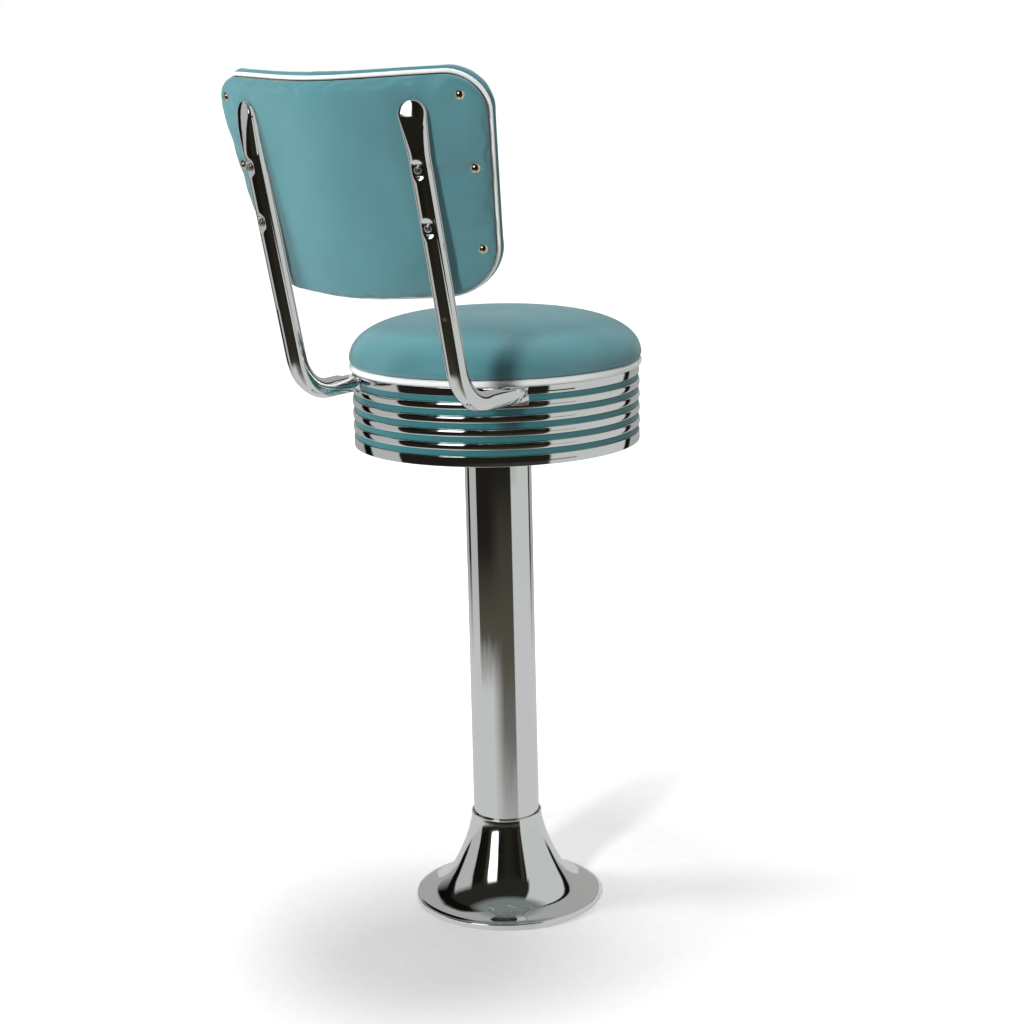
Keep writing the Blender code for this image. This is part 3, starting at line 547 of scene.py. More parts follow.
def build_inlays(grooves, floor):
    """Vinyl strips with slightly rolled edges, one per groove, cut at the tube slots."""
    for number, (top, bottom) in enumerate(grooves, start=1):
        high, low = top - GAP, bottom + GAP
        corner = floor + INLAY_THICKNESS - SMALL_ROUNDING
        profile = arc((corner, high - SMALL_ROUNDING), SMALL_ROUNDING, 90, 0, 3)
        profile += arc((corner, low + SMALL_ROUNDING), SMALL_ROUNDING, 0, -90, 3)
        profile += [(floor + GAP, low), (floor + GAP, high)]
        names = [f"groove_inlay_{number}"]
        if number == 1:
            names = ["groove_inlay_1_front", "groove_inlay_1_rear"]
        for name in names:
            # The strips take the inlay vinyl, whose darker teal is painted shade for the grooves
            # they lie in.
            strip = turned(name + "_fine", profile, SHADED_INLAY_VINYL, "seat", RING_STEPS)
            if number == 1:
                slots = slot_tool()
                rear = box_tool([((-TUBE_X, 0.03, 0.6), (TUBE_X, 0.24, SLOT_TOP))])
                cut(strip, slots)
                cut(strip, rear, 'INTERSECT' if name.endswith("rear") else 'DIFFERENCE')
                remove(slots, rear)
            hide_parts(name)


# ---- padding by cloth simulation --------------------------------------------
def pad_out(target, pinned, pressure, cap, limit=None):
    """Inflate a closed mesh as sewn vinyl; vertices in `pinned` stay where they are.

    No point moves further than `cap`; `limit` may shorten a point's move again.
    """
    mesh = target.data
    rest = [vertex.co.copy() for vertex in mesh.vertices]
    group = target.vertex_groups.new(name="pinned")
    group.add([i for i, held in enumerate(pinned) if held], 1.0, 'REPLACE')
    cloth = target.modifiers.new("cloth", 'CLOTH')
    settings = cloth.settings
    settings.vertex_group_mass = group.name
    settings.quality = 6
    settings.mass = 0.25
    settings.tension_stiffness = 18.0
    settings.compression_stiffness = 18.0
    settings.shear_stiffness = 8.0
    settings.bending_stiffness = 0.6
    settings.use_pressure = True
    settings.uniform_pressure_force = pressure
    settings.effector_weights.gravity = 0.0
    settings.shrink_min = -0.012
    cloth.collision_settings.use_collision = False
    cloth.point_cache.frame_start = 1
    cloth.point_cache.frame_end = PAD_FRAMES
    scene = bpy.context.scene
    for number in range(1, PAD_FRAMES + 1):
        scene.frame_set(number)
    graph = bpy.context.evaluated_depsgraph_get()
    shaped = target.evaluated_get(graph)
    moved = [vertex.co.copy() for vertex in shaped.data.vertices]
    target.modifiers.clear()
    scene.frame_set(1)
    for index, vertex in enumerate(mesh.vertices):
        step = moved[index] - rest[index]
        if step.length > cap:
            step *= cap / step.length
        if limit:
            step = limit(index, step)
        vertex.co = rest[index] + step
    target.vertex_groups.clear()


def subdivide(target, levels=1):
    step = target.modifiers.new("smooth", 'SUBSURF')
    step.levels = levels
    step.render_levels = levels


# ---- seat cushion -----------------------------------------------------------
def build_seat():
    """A hollow vinyl cover with a full, round side and a flatter crown."""
    low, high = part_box("seat_cover")
    hem = low.z + GAP
    widest = low.z + 0.0016
    rise = high.z - widest - 0.0012
    rings = 40
    steps = 144
    outer = []
    for k in range(1, rings + 1):
        angle = pi / 2 * (1 - k / rings)
        outer.append(((high.x - 0.0015) * cos(angle) ** SEAT_SIDE_POWER,
                      widest + rise * sin(angle) ** SEAT_TOP_POWER))
    inner = [(high.x - 0.0052, hem)]
    inner += [(r - SEAT_COVER_THICKNESS, z - SEAT_COVER_THICKNESS)
              for r, z in reversed(outer[4:-1])]
    outer.append((high.x - 0.0022, hem))
    loops = [circle(r, z, steps) for r, z in outer + inner]
    seat = loft("seat_cushion", loops, SEAT_VINYL, "seat", smooth=80)
    stitched = widest + 0.004
    held = [v.co.z < stitched or v.index >= len(outer) * steps for v in seat.data.vertices]
    pad_out(seat, held, 3.0, 0.0022)
    subdivide(seat)
    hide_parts("seat_cover")


def build_seat_piping():
    """A welt round the seat, with the faint swell of its cord."""
    low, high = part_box("seat_piping")
    centre_z = (low.z + high.z) / 2
    minor = SEAT_PIPING_RADIUS
    major = high.x - minor
    steps = 220
    sides = 14
    loops = []
    for k in range(steps):
        angle = 2 * pi * k / steps
        swell = 1 + 0.012 * sin(31 * angle) * sin(7 * angle)
        loop = []
        for j in range(sides):
            turn = 2 * pi * j / sides
            r = major + minor * swell * cos(turn)
            z = centre_z + minor * swell * sin(turn)
            loop.append(Vector((r * cos(angle), r * sin(angle), z)))
        loops.append(loop)
    piping = loft("seat_piping_fine", loops, PIPING_VINYL, "seat", wrap=True)
    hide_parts("seat_piping")


# ---- back -------------------------------------------------------------------
def back_slope(x):
    """Slope of the back's surface across its width: straight wings from a rounded middle."""
    return -WING_SLOPE * x / hypot(x, BACK_BEND)


def back_depth(x):
    return -WING_SLOPE * (hypot(x, BACK_BEND) - BACK_BEND)


def back_normal(x):
    slope = back_slope(x)
    return (Vector((-slope, 0, 0)) + BACK_REAR) / hypot(1.0, slope)


def back_point(x, up, proud):
    """A place given across and up the back's surface, and `proud` of it to the rear."""
    slope = back_slope(x)
    length = hypot(1.0, slope)
    across = x - proud * slope / length
    depth = back_depth(x) + proud / length
    return BACK_ORIGIN + Vector((across, 0, 0)) + up * BACK_UP + depth * BACK_REAR


def back_outline(inset=0.0, scale=1.0, spacing=0.0065):
    """Rounded trapezoid of the back as (across, up) points."""
    corner_steps = 12
    corners = [(BACK_BOTTOM_HALF, 0.0, BACK_BOTTOM_CORNER),
               (BACK_TOP_HALF, BACK_HEIGHT, BACK_TOP_CORNER),
               (-BACK_TOP_HALF, BACK_HEIGHT, BACK_TOP_CORNER),
               (-BACK_BOTTOM_HALF, 0.0, BACK_BOTTOM_CORNER)]
    lean = atan2(BACK_TOP_HALF - BACK_BOTTOM_HALF, BACK_HEIGHT)
    first_angles = (-pi / 2, -lean, pi / 2, pi + lean)
    last_angles = (-lean, pi / 2, pi + lean, 3 * pi / 2)
    points = []
    for (x, up, radius), first, last in zip(corners, first_angles, last_angles):
        middle = (first + last) / 2
        reach = radius / cos((last - first) / 2)
        centre = (x - reach * cos(middle), up - reach * sin(middle))
        for k in range(corner_steps + 1):
            angle = first + (last - first) * k / corner_steps
            points.append((centre[0] + (radius - inset) * cos(angle),
                           centre[1] + (radius - inset) * sin(angle)))
    filled = []
    for a, b in zip(points, points[1:] + points[:1]):
        pieces = max(1, round(hypot(b[0] - a[0], b[1] - a[1]) / spacing))
        for k in range(pieces):
            filled.append((a[0] + (b[0] - a[0]) * k / pieces, a[1] + (b[1] - a[1]) * k / pieces))
    shaped = []
    middle_up = BACK_HEIGHT / 2
    for x, up in filled:
        half = BACK_BOTTOM_HALF + (BACK_TOP_HALF - BACK_BOTTOM_HALF) * up / BACK_HEIGHT
        edge_rise = BACK_CROWN if up > middle_up else BACK_ARCH
        rise = edge_rise * (1 - (x / half) ** 2) * abs(up / middle_up - 1)
        shaped.append((x * scale, middle_up + (up + rise - middle_up) * scale))
    return shaped


def nail_dimple(x, up):
    """Depth pressed into the vinyl round the nails."""
    depth = 0.0
    for nail_x, nail_up in NAIL_PLACES:
        away = hypot(abs(x) - nail_x, up - nail_up)
        for deep, spread in (NAIL_PIT, NAIL_DISH):
            depth += deep * fade(away, spread)
    return depth


def near_nail(x, up, reach):
    return any(hypot(abs(x) - nail_x, up - nail_up) < reach for nail_x, nail_up in NAIL_PLACES)


def padded_slab(name, rear, front, inset, rear_round, front_round, dimples):
    """Concentric loops over both faces of a slab; returns the object and each vertex's place."""
    rings = 17
    inner_scales = [0.06 + 0.94 * k / rings for k in range(rings)]
    places = []
    for scale in inner_scales:
        for x, up in back_outline(inset + rear_round, scale):
            places.append((x, up, rear - (nail_dimple(x, up) if dimples else 0.0)))
    side = edge_rows(rear, -rear_round, inset, 7) + edge_rows(front, front_round, inset, 7)[::-1]
    for row in side:
        places += row
    for scale in reversed(inner_scales):
        for x, up in back_outline(inset + front_round, scale):
            places.append((x, up, front))
    per_loop = len(back_outline())
    loops = [[back_point(*place) for place in places[i:i + per_loop]]
             for i in range(0, len(places), per_loop)]
    slab = loft(name, loops, BACK_VINYL, "seat", smooth=80)
    return slab, places


def edge_rows(face, rounding, inset, steps):
    """Rows of a quarter round from a face, at `face`, over to the slab's side."""
    size = abs(rounding)
    rows = []
    for k in range(steps + 1):
        angle = pi / 2 * k / steps
        depth = face + rounding * (1 - cos(angle))
        rows.append([(x, up, depth)
                     for x, up in back_outline(inset + size * (1 - sin(angle)))])
    return rows


def build_rear_cover():
    """The rear padding: drawn in by the nails, and held flat under the tubes."""
    cover, places = padded_slab("back_rear_padding", -0.0006, -REAR_COVER_THICKNESS,
                                REAR_COVER_INSET, REAR_COVER_ROUNDING, SEAM_ROUNDING, True)
    count = len(cover.data.vertices)
    places = places + [(0.0, BACK_HEIGHT / 2, 0.0)] * (count - len(places))
    seam = -REAR_COVER_THICKNESS + SEAM_HEIGHT[0]
    held = [proud < seam or near_nail(x, up, 0.0050) for x, up, proud in places]
    lowest, highest = -0.0015, 0.0024
    tube_foot = 0.05

    def keep_off_tubes(index, step):
        x, up, proud = places[index]
        normal = back_normal(x)
        lift = step.dot(normal)
        room = highest
        if up > tube_foot:
            room *= smooth_step((abs(abs(x) - TUBE_X) - 0.011) / 0.016)
        return step + normal * (min(max(lift, lowest), room) - lift)

    pad_out(cover, held, 2.4, 0.0030, limit=keep_off_tubes)
    subdivide(cover)
    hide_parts("back_rear_cover")


def build_front_pad():
    """The sitter's padding, thick and plain, over the front of the board."""
    rear = -REAR_COVER_THICKNESS - BACK_BOARD_THICKNESS - 2 * GAP
    pad, places = padded_slab("back_front_padding", rear, rear - FRONT_PAD_THICKNESS,
                              GAP, FRONT_SEAM_ROUNDING, FRONT_PAD_ROUNDING, False)
    count = len(pad.data.vertices)
    places = places + [(0.0, BACK_HEIGHT / 2, rear)] * (count - len(places))
    held = [proud > rear - SEAM_HEIGHT[1] for x, up, proud in places]
    pad_out(pad, held, 2.4, 0.0040)
    subdivide(pad)
    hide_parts("back_front_pad")


def build_back_piping():
    """The welt between the back's two covers, following its outline."""
    proud = -REAR_COVER_THICKNESS - GAP - BACK_PIPING_RADIUS
    path = [back_point(x, up, proud) for x, up in back_outline(BACK_PIPING_INSET, spacing=0.005)]
    loops = sweep_closed(path, BACK_PIPING_RADIUS - PIPING_EASE, 12)
    piping = loft("back_piping_fine", loops, PIPING_VINYL, "seat", wrap=True)
    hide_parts("back_piping")


def sweep_closed(path, radius, sides):
    """Round loops along a closed path, with the faint swell of a sewn-in cord."""
    loops = []
    count = len(path)
    for index, point in enumerate(path):
        ahead = (path[(index + 1) % count] - path[index - 1]).normalized()
        first = ahead.cross(BACK_REAR).normalized()
        second = ahead.cross(first)
        swell = radius * (1 + 0.02 * sin(index * 0.9) * sin(index * 0.23))
        loops.append([point + swell * (cos(2 * pi * k / sides) * first
                                       + sin(2 * pi * k / sides) * second)
                      for k in range(sides)])
    return loops


# ---- fasteners --------------------------------------------------------------
def facing(place, axis):
    """Matrix that puts Z along `axis` at `place`."""
    turn = Vector(axis).normalized().to_track_quat('Z', 'Y')
    return Matrix.Translation(Vector(place)) @ turn.to_matrix().to_4x4()


def stud(name, head, axis, outline, material, sides=32):
    """A turned fastener: (radius, height) outline along `axis`, which leaves the surface."""
    place = facing(head, axis)
    loops = [[place @ point for point in circle(radius, height, sides)]
             for radius, height in outline]
    return loft(name, loops, material, "seat")


def build_nails():
    """Domed upholstery nails, with their heads half sunk in the vinyl."""
    dome = [(0.0009, -0.0100), (0.0009, -0.0026), (NAIL_RADIUS, -0.0026),
            (NAIL_RADIUS, -0.0022)]
    for k in range(1, 9):
        angle = pi / 2 * k / 9
        dome.append((NAIL_RADIUS * cos(angle), -0.0022 + 0.0048 * sin(angle)))
    for word, side in SIDES:
        for number, (x, up) in enumerate(NAIL_PLACES, start=1):
            nail = stud(f"back_nail_{word}_{number}_fine", back_point(side * x, up, 0.0),
                        back_normal(side * x), dome, NAIL_METAL)
            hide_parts(f"back_nail_{word}_{number}")


def screw_axis(side, height):
    """Where a screw crosses its tube's axis, and the way its head faces."""
    y = TUBE_TIP[0] - (TUBE_TIP[1] - height) * tan(TUBE_RECLINE)
    outward = Vector((side * sin(SCREW_TURN), 0, 0)) + TUBE_REAR * cos(SCREW_TURN)
    return Vector((side * TUBE_X, y, height)), outward


def build_back_screws():
    """Pan-head screws with a cross recess, each sunk in its dimple."""
    head = 0.0048
    shank = 0.0026
    seat = TUBE_RADIUS - DIMPLE_DEPTH + GAP
    outline = [(shank, -0.026), (shank, 0.0), (head, 0.0), (head, 0.0010)]
    for k in range(1, 8):
        angle = pi / 2 * k / 8
        outline.append((head * cos(angle) ** 0.8, 0.0010 + 0.0017 * sin(angle)))
    for word, side in SIDES:
        for number, height in enumerate(BACK_SCREW_HEIGHTS, start=1):
            middle, outward = screw_axis(side, height)
            screw = stud(f"back_screw_{word}_{number}_fine", middle + outward * seat, outward,
                         outline, ZINC)
            cross_recess(screw, middle + outward * (seat + 0.0032), outward)
            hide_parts(f"back_screw_{word}_{number}")


def cross_recess(screw, top, axis):
    """Cut two crossed slots down into a screw's head."""
    size = Matrix.Diagonal((0.0046, 0.0010, 0.0028, 1.0))
    for angle in (20, 110):
        bm = bmesh.new()
        place = facing(top, axis) @ Matrix.Rotation(radians(angle), 4, 'Z') @ size
        bmesh.ops.create_cube(bm, size=1.0, matrix=place)
        tool = new_object("tool", bm)
        cut(screw, tool)
        remove(tool)


def build_hex_fasteners():
    """Hexagon bolts up through the tubes and flanged screws up through the plate."""
    looks = [(f"frame_bolt_{word}_{n}", 0.0065, 0.0042) for word, side in SIDES
             for n in (1, 2)]
    looks += [(f"plate_screw_{n}", 0.0060, 0.0034) for n in (1, 2, 3, 4)]
    shank = 0.0028
    sides = 24
    for node, across, tall in looks:
        low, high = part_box(node)
        middle = Vector(((low.x + high.x) / 2, (low.y + high.y) / 2, low.z))
        loops = [circle(shank, high.z - low.z, sides), circle(shank, tall, sides),
                 hexagon(across, tall, sides), hexagon(across, 0.0006, sides),
                 hexagon(across * 0.86, 0.0, sides), hexagon(across * 0.5, 0.0003, sides)]
        loops = [[middle + point for point in loop] for loop in loops]
        bolt = loft(node + "_fine", loops, ZINC, "seat", smooth=25)
        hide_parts(node)


def hexagon(radius, height, sides):
    points = []
    for point in circle(1.0, 0.0, sides):
        within = (atan2(point.y, point.x) % (pi / 3)) - pi / 6
        reach = radius * cos(pi / 6) / cos(within)
        points.append(Vector((reach * point.x, reach * point.y, height)))
    return points


# ---- back tubes -------------------------------------------------------------
WING_ANGLE = atan2(-back_slope(TUBE_X), 1.0)


def room_behind_back(point):
    """Distance from a tube's axis to the back's rear surface, square to that surface."""
    offset = Vector((0.0, point.y, point.z)) - BACK_ORIGIN
    return (offset.dot(BACK_REAR) - back_depth(TUBE_X)) * cos(WING_ANGLE)


def tube_path():
    """(point, direction, distance from the tip) every few millimetres along a tube."""
    down = Vector((0.0, -sin(TUBE_RECLINE), -cos(TUBE_RECLINE)))
    tip = Vector((0.0, *TUBE_TIP))
    corner = tip + down * ((TUBE_TIP[1] - TUBE_RUN_Z) / cos(TUBE_RECLINE))
    turn = pi / 2 - TUBE_RECLINE
    bend_start = corner - down * TUBE_BEND_RADIUS * tan(turn / 2)
    straight = (bend_start - tip).length
    places = []
    nose = [0.0, 0.0002, 0.0006, 0.0013, 0.0023, 0.0037]
    row_step = 0.0025
    rows = [0.0055 + row_step * k for k in range(int((straight - 0.008) / row_step))]
    for from_tip in nose + rows:
        places.append((tip + down * from_tip, down, from_tip))
    centre = bend_start + Vector((0, -cos(TUBE_RECLINE), sin(TUBE_RECLINE))) * TUBE_BEND_RADIUS
    past_tip = 1.0
    bend_steps = 26
    for k in range(bend_steps + 1):
        spin = Matrix.Rotation(-turn * k / bend_steps, 3, 'X')
        places.append((centre + spin @ (bend_start - centre), spin @ down, past_tip))
    run_start = places[-1][0].y
    run_rows = 30
    for k in range(1, run_rows + 1):
        y = run_start + (TUBE_END_Y - run_start) * k / run_rows
        places.append((Vector((0.0, y, TUBE_RUN_Z)), Vector((0.0, -1.0, 0.0)), past_tip))
    return places


def tip_section(point, from_tip):
    """How the tube is pressed along the back: room in front and behind, width, dome, nose."""
    front_room = min(TUBE_RADIUS, room_behind_back(point) - 0.0006)
    taper = min(max((from_tip - SPOON_LENGTH) / (TAPER_LENGTH - SPOON_LENGTH), 0.0), 1.0)
    width = TUBE_RADIUS + (SPOON_HALF_WIDTH - TUBE_RADIUS) * (1.0 - taper)
    dome = DOME_SHARE * (1.0 - smooth_step(from_tip / DOME_LENGTH))
    nose = 1.0
    if from_tip < SPOON_HALF_WIDTH:
        short = 1.0 - (from_tip + 0.0004) / SPOON_HALF_WIDTH
        nose = sqrt(max(0.0, 1.0 - short * short))
        front_room *= 0.75 + 0.25 * nose
    return front_room, spoon_depth(from_tip), width, dome, nose


def dimple_depth(point):
    """Depth of the flats pressed round the screws, at a place along the tube."""
    depth = 0.0
    for height in BACK_SCREW_HEIGHTS:
        away = abs(point.z - height) / cos(TUBE_RECLINE)
        slope = (away - DIMPLE_FLAT) / (DIMPLE_HALF_LENGTH - DIMPLE_FLAT)
        depth += DIMPLE_DEPTH * (1.0 - smooth_step(slope))
    return depth


def tube_loop(side, point, along, from_tip, sides=44):
    """One section of a tube: round below, and fitted to the back along its upper part."""
    rear = Vector((1, 0, 0)).cross(along)
    sx, sr = side * sin(WING_ANGLE), cos(WING_ANGLE)
    front_room = rear_room = width = TUBE_RADIUS
    dome = dimple = crush = 0.0
    nose = 1.0
    if point.z > BACK_ORIGIN.z:
        front_room, rear_room, width, dome, nose = tip_section(point, from_tip)
        dimple = dimple_depth(point)
    if along.y < -0.99:
        crush = smooth_step((CRUSH_START_Y - point.y) / (CRUSH_START_Y - CRUSH_Y))
    loop = []
    for k in range(sides):
        angle = 2 * pi * k / sides
        x, r = TUBE_RADIUS * cos(angle), TUBE_RADIUS * sin(angle)
        outward = x * sx + r * sr
        sideways = (x * sr - r * sx) * width / TUBE_RADIUS * nose
        across = cos(angle) * sr - sin(angle) * sx
        outward = soft_limit(outward, rear_room * (1.0 - dome * across * across), 0.0009)
        outward = -soft_limit(-outward, front_room)
        off_x = outward * sx + sideways * sr
        off_r = outward * sr - sideways * sx
        if dimple:
            proud = off_x * side * sin(SCREW_TURN) + off_r * cos(SCREW_TURN)
            excess = max(0.0, proud - TUBE_RADIUS + dimple)
            off_x -= excess * side * sin(SCREW_TURN)
            off_r -= excess * cos(SCREW_TURN)
        place = point + Vector((side * TUBE_X + off_x, 0, 0)) + rear * off_r
        loop.append(crushed(place, crush, side) if crush else place)
    return loop


def spoon_depth(from_tip):
    """Height of the pressed tip's rear surface over the tube's axis, rising to the full tube."""
    for (start, low), (end, high) in zip(SPOON_DEPTHS, SPOON_DEPTHS[1:]):
        if from_tip < end:
            return low + (high - low) * (from_tip - start) / (end - start)
    return SPOON_DEPTHS[-1][1]


def soft_limit(value, limit, softness=0.0006):
    """`value`, eased so that it never passes `limit`."""
    over = value - limit + softness
    if over <= 0.0:
        return value
    return limit - softness + softness * over / (over + softness)


def crushed(place, amount, side):
    """Flatten the top of the lower run towards the ring, with a shallow crease along it."""
    ceiling = CRUSH_TOP * amount + (TUBE_RUN_Z + TUBE_RADIUS + 0.001) * (1 - amount)
    top = soft_limit(place.z, ceiling, 0.0008)
    if place.z > TUBE_RUN_Z:
        away = place.x - side * TUBE_X + CREASE_SHIFT
        top -= CREASE_DEPTH * amount * fade(away, CREASE_SPREAD)
    return Vector((place.x, place.y, top))


def build_tubes():
    """Both tubes, hollow at their cut ends under the seat."""
    path = tube_path()
    open_rows = 16
    bore = 0.86
    for word, side in SIDES:
        outer = [tube_loop(side, *station) for station in path]
        inner = []
        for loop in outer[-open_rows:]:
            middle = sum(loop, Vector()) / len(loop)
            inner.append([middle + (point - middle) * bore for point in loop])
        tube = loft(f"back_tube_{word}_fine", outer + inner[::-1], TUBE_CHROME, "seat",
                    smooth=50)
        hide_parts(f"back_tube_{word}")


# ---- stage, light and camera ------------------------------------------------
def bearing_share(degrees):
    """A bearing from the camera's side as a share of a turn, for the ramps."""
    return 0.5 + degrees / 360


def bearing_of(nodes, way):
    """Share of a turn of a direction; 0.5 is towards the camera, more is to its right."""
    turned_way = nodes.make("VectorRotate", {"Vector": way, "Angle": -CAMERA_AZIMUTH},
                            rotation_type='Z_AXIS').outputs[0]
    parts = nodes.make("SeparateXYZ", {"Vector": turned_way}).outputs
    bearing = nodes.math('ARCTAN2', parts["X"], nodes.times(parts["Y"], -1.0))
    return nodes.math('ADD', nodes.times(bearing, 1 / (2 * pi)), 0.5), parts["Z"]


def studio_walls(nodes, share, dark_edge=42.5, left_line=-133):
    """Brightness round the object: a dark room towards the camera between pale walls."""
    black = (0.0040, 0.0038, 0.0032)
    dim = (0.0085, 0.0080, 0.0055)
    brown = (0.0190, 0.0175, 0.0130)
    streak = (0.0420, 0.0390, 0.0300)
    left = (0.475, 0.485, 0.470)
    pale = (0.570, 0.590, 0.565)
    grey = (0.400, 0.400, 0.385)
    edges = [(-180, grey), (left_line - 2, grey), (left_line, black), (-121, black),
             (-119, left), (-85, left), (-83, black), (-58, dim), (-53, streak), (-49, streak),
             (-44, dim), (-22, dim), (0, brown), (28, dim), (36, streak), (40, dim),
             (dark_edge - 1.5, dim), (dark_edge, pale), (122, pale), (124, black), (132, black),
             (134, grey), (180, grey)]
    return nodes.ramp(share, [(bearing_share(angle), colour) for angle, colour in edges])


def band_mask(nodes, share, first, last, soft):
    """One between two bearings, fading over `soft` degrees outside them."""
    return nodes.ramp(share, [(bearing_share(first - soft), 0.0), (bearing_share(first), 1.0),
                              (bearing_share(last), 1.0), (bearing_share(last + soft), 0.0)])


def build_world():
    """White to the camera; chrome sees the studio's walls, a tall lamp and a dark ceiling."""
    world = bpy.data.worlds.new("studio")
    bpy.context.scene.world = world
    world.use_nodes = True
    nodes = Nodes(world.node_tree)
    way = nodes.make("TexCoord").outputs["Generated"]
    share, height = bearing_of(nodes, way)
    raised = nodes.ramp(height, [(0.06, 0.0), (0.42, 1.0)])
    walls = nodes.mix(raised, studio_walls(nodes, share), studio_walls(nodes, share, 44.0, -150))
    lamp_side = band_mask(nodes, share, -46, -28, 2)
    lamp_rise = nodes.ramp(height, [(0.03, 0.0), (0.07, 1.0), (0.60, 1.0), (0.76, 0.0)])
    lamp = nodes.times(lamp_side, lamp_rise)
    lit = nodes.mix(lamp, walls, (2.6, 2.65, 2.7, 1.0))
    front = band_mask(nodes, share, -125, 46, 4)
    above = nodes.times(front, nodes.ramp(height, [(0.50, 0.0), (0.62, 1.0)]))
    shaded = nodes.mix(above, lit, (0.022, 0.020, 0.017, 1.0))
    zenith = nodes.ramp(height, [(0.86, 0.0), (0.93, 1.0)])
    mirrored = nodes.mix(zenith, shaded, (0.19, 0.22, 0.205, 1.0))
    ceiling = nodes.ramp(height, [(0.55, 0.0), (0.92, 1.0)])
    soft = nodes.mix(ceiling, nodes.mix(0.25, walls, (0.0, 0.0, 0.0, 1.0)),
                     (0.40, 0.41, 0.42, 1.0))
    rays = nodes.make("LightPath")
    around = nodes.mix(rays.outputs["Is Glossy Ray"], soft, mirrored)
    seen = nodes.mix(rays.outputs["Is Camera Ray"], around, (1.0, 1.0, 1.0, 1.0))
    background = nodes.make("Background", {"Color": seen, "Strength": 1.0})
    nodes.make("OutputWorld", {"Surface": background.outputs[0]})


def floor_in_chrome(nodes, place):
    """What chrome shows of the floor: pale by the foot, then the walls it runs up to.

    Towards the camera it darkens with distance, sooner on the right than on the left.
    """
    sight = nodes.make("NewGeometry").outputs["Incoming"]
    way = nodes.make("VectorMath", {0: sight, 1: (-1.0, -1.0, -1.0)},
                     operation='MULTIPLY').outputs[0]
    share, rise = bearing_of(nodes, way)
    span = nodes.make("VectorMath", {0: place}, operation='LENGTH').outputs["Value"]
    wave = nodes.times(nodes.math('SUBTRACT', nodes.noise(place, 5.0), 0.5), 0.05)
    reach = nodes.math('ADD', nodes.times(span, 1 / FLOOR_REACH), wave)
    pale = (0.59, 0.60, 0.585)
    brown = (0.090, 0.080, 0.060)
    dark = (0.014, 0.013, 0.010)
    left = nodes.ramp(reach, [(0.20, pale), (0.27, brown), (0.42, dark), (0.80, dark)])
    right = nodes.ramp(reach, [(0.0, pale), (0.08, (0.37, 0.365, 0.35)),
                               (0.15, (0.16, 0.155, 0.14)), (0.24, brown), (0.60, dark)])
    toward_right = nodes.ramp(share, [(bearing_share(-38), 0.0), (bearing_share(2), 1.0)])
    fall = nodes.times(rise, -1.0)
    beyond = nodes.times(nodes.ramp(reach, [(0.22, 0.0), (0.32, 1.0)]),
                         nodes.ramp(fall, [(0.30, 0.0), (0.38, 0.7)]))
    front = nodes.mix(beyond, nodes.mix(toward_right, left, right), (0.008, 0.007, 0.005, 1.0))
    steep = nodes.ramp(fall, [(0.200, 0.0), (0.215, 1.0)])
    far = nodes.times(nodes.ramp(reach, [(0.56, 0.0), (0.60, 1.0)]), steep)
    walls = nodes.mix(far, studio_walls(nodes, share), studio_walls(nodes, share, 66.0))
    ahead = nodes.blend(far, band_mask(nodes, share, -83, 41.5, 1),
                        band_mask(nodes, share, -83, 65, 1))
    near = nodes.ramp(reach, [(0.23, 1.0), (0.40, 0.0)])
    side = nodes.mix(near, walls, (*pale, 1.0))
    return nodes.mix(ahead, side, front)


def floor_material():
    """Pale sweep that burns out to white away from the object, and a set picture in chrome."""
    made, nodes, place = new_material("pale_floor")
    grain = nodes.noise(place, 60.0, 3.0)
    shade = nodes.ramp(grain, [(0.3, 0.64), (0.7, 0.66)])
    paper = nodes.make("BsdfDiffuse", {"Color": shade})
    glow = nodes.make("Emission", {"Color": floor_in_chrome(nodes, place)})
    span = nodes.make("VectorMath", {0: place}, operation='LENGTH').outputs["Value"]
    white = nodes.ramp(nodes.times(span, 1 / FLOOR_REACH), [(0.06, 0.0), (0.30, 1.0)])
    lift = nodes.make("Emission", {"Color": white})
    rays = nodes.make("LightPath")
    lifted = nodes.make("AddShader", {0: paper.outputs[0], 1: lift.outputs[0]})
    shown = nodes.make("MixShader", {0: rays.outputs["Is Camera Ray"], 1: paper.outputs[0],
                                     2: lifted.outputs[0]})
    mixed = nodes.make("MixShader", {0: rays.outputs["Is Glossy Ray"], 1: shown.outputs[0],
                                     2: glow.outputs[0]})
    nodes.make("OutputMaterial", {"Surface": mixed.outputs[0]})
    return made


def build_stage():
    bm = bmesh.new()
    bmesh.ops.create_grid(bm, x_segments=4, y_segments=4, size=FLOOR_HALF)
    floor = new_object("floor", bm, floor_material())
    floor.location.z = -FLOOR_DROP


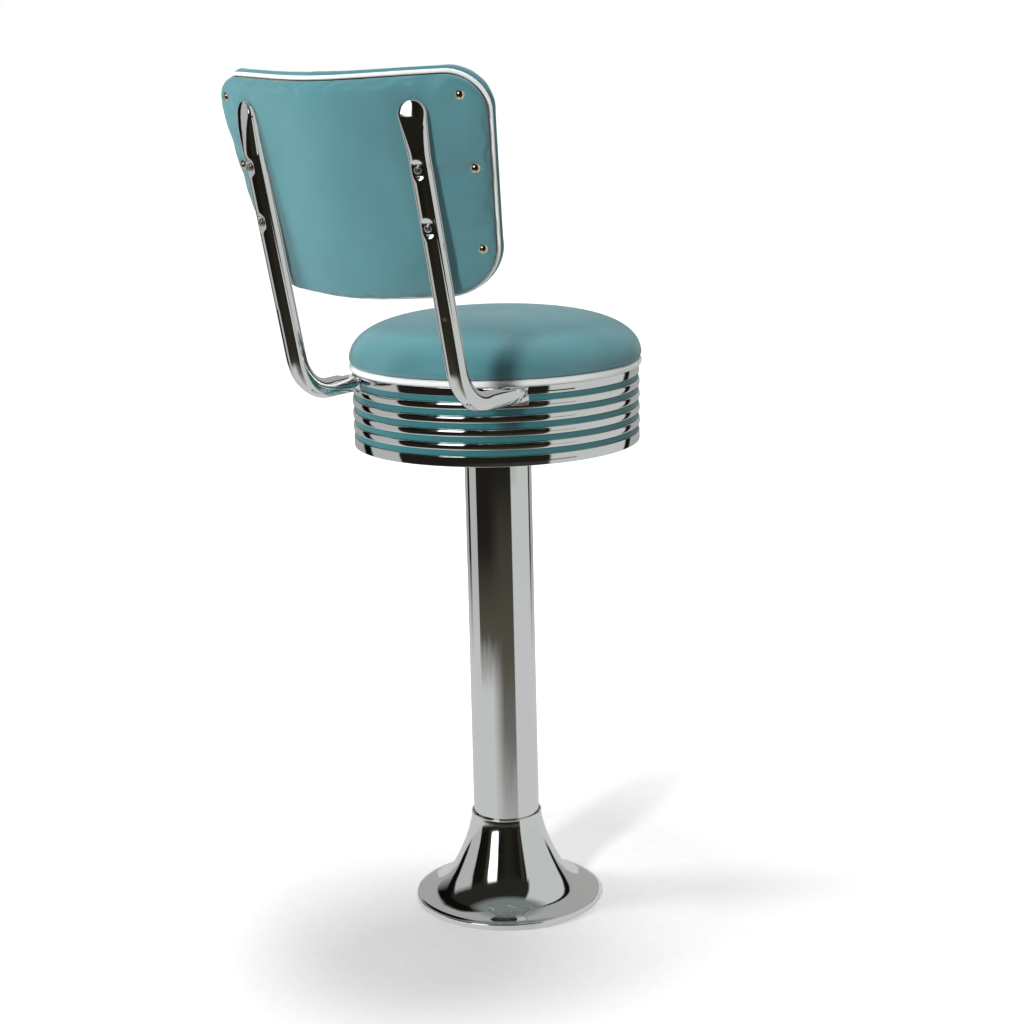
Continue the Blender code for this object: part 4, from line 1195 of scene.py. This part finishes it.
def add_lamp(name, bearing, distance, height, size, power):
    """A soft area light; its bearing is from the object, 0 towards the camera."""
    angle = CAMERA_AZIMUTH + radians(bearing)
    data = bpy.data.lights.new(name, 'AREA')
    data.shape = 'DISK'
    data.size = size
    data.energy = power
    lamp = bpy.data.objects.new(name, data)
    lamp.location = (distance * sin(angle), -distance * cos(angle), height)
    lamp.rotation_euler = (LAMP_AIM - lamp.location).to_track_quat('-Z', 'Y').to_euler()
    lamp.visible_glossy = False
    bpy.context.scene.collection.objects.link(lamp)


def build_lights():
    add_lamp("overhead", 150, 0.9, 3.2, 1.2, 72)
    add_lamp("left_key", -29, 2.6, 1.9, 0.35, 60)
    add_lamp("left_side", -90, 2.4, 1.5, 0.9, 44)
    add_lamp("right_fill", 75, 2.6, 1.5, 1.6, 7)


def build_camera():
    data = bpy.data.cameras.new("camera")
    data.lens = CAMERA_LENS
    data.sensor_width = 36.0
    camera = bpy.data.objects.new("camera", data)
    turn = (Matrix.Rotation(CAMERA_AZIMUTH + CAMERA_YAW, 4, 'Z')
            @ Matrix.Rotation(pi / 2 - CAMERA_PITCH, 4, 'X')
            @ Matrix.Rotation(CAMERA_ROLL, 4, 'Z'))
    place = Matrix.Translation((CAMERA_DISTANCE * sin(CAMERA_AZIMUTH),
                                -CAMERA_DISTANCE * cos(CAMERA_AZIMUTH), CAMERA_HEIGHT))
    camera.matrix_world = place @ turn
    bpy.context.scene.collection.objects.link(camera)
    bpy.context.scene.camera = camera


def keep_out_of_mirrors():
    """The chrome shows the studio, without the padding, woodwork and bolts close to it."""
    padding = ("seat_cushion", "back_rear_padding", "back_front_padding", "back_piping_fine")
    inside = ("seat_foam", "seat_board", "seat_hoop", "back_board", "swivel_plate")
    hidden = [bpy.data.objects[name] for name in padding]
    hidden += [frame["nodes"][name] for name in inside]
    hidden += [thing for thing in bpy.data.objects
               if thing.name.startswith(("frame_bolt", "plate_screw")) and thing.type == 'MESH']
    for thing in hidden:
        thing.visible_glossy = False


dress_cad_nodes()
build_column()
build_bell()
build_ring()
build_seat()
build_seat_piping()
build_rear_cover()
build_front_pad()
build_back_piping()
build_nails()
build_back_screws()
build_hex_fasteners()
build_tubes()
keep_out_of_mirrors()
build_world()
build_stage()
build_lights()
build_camera()
bpy.context.scene.view_settings.view_transform = 'Standard'
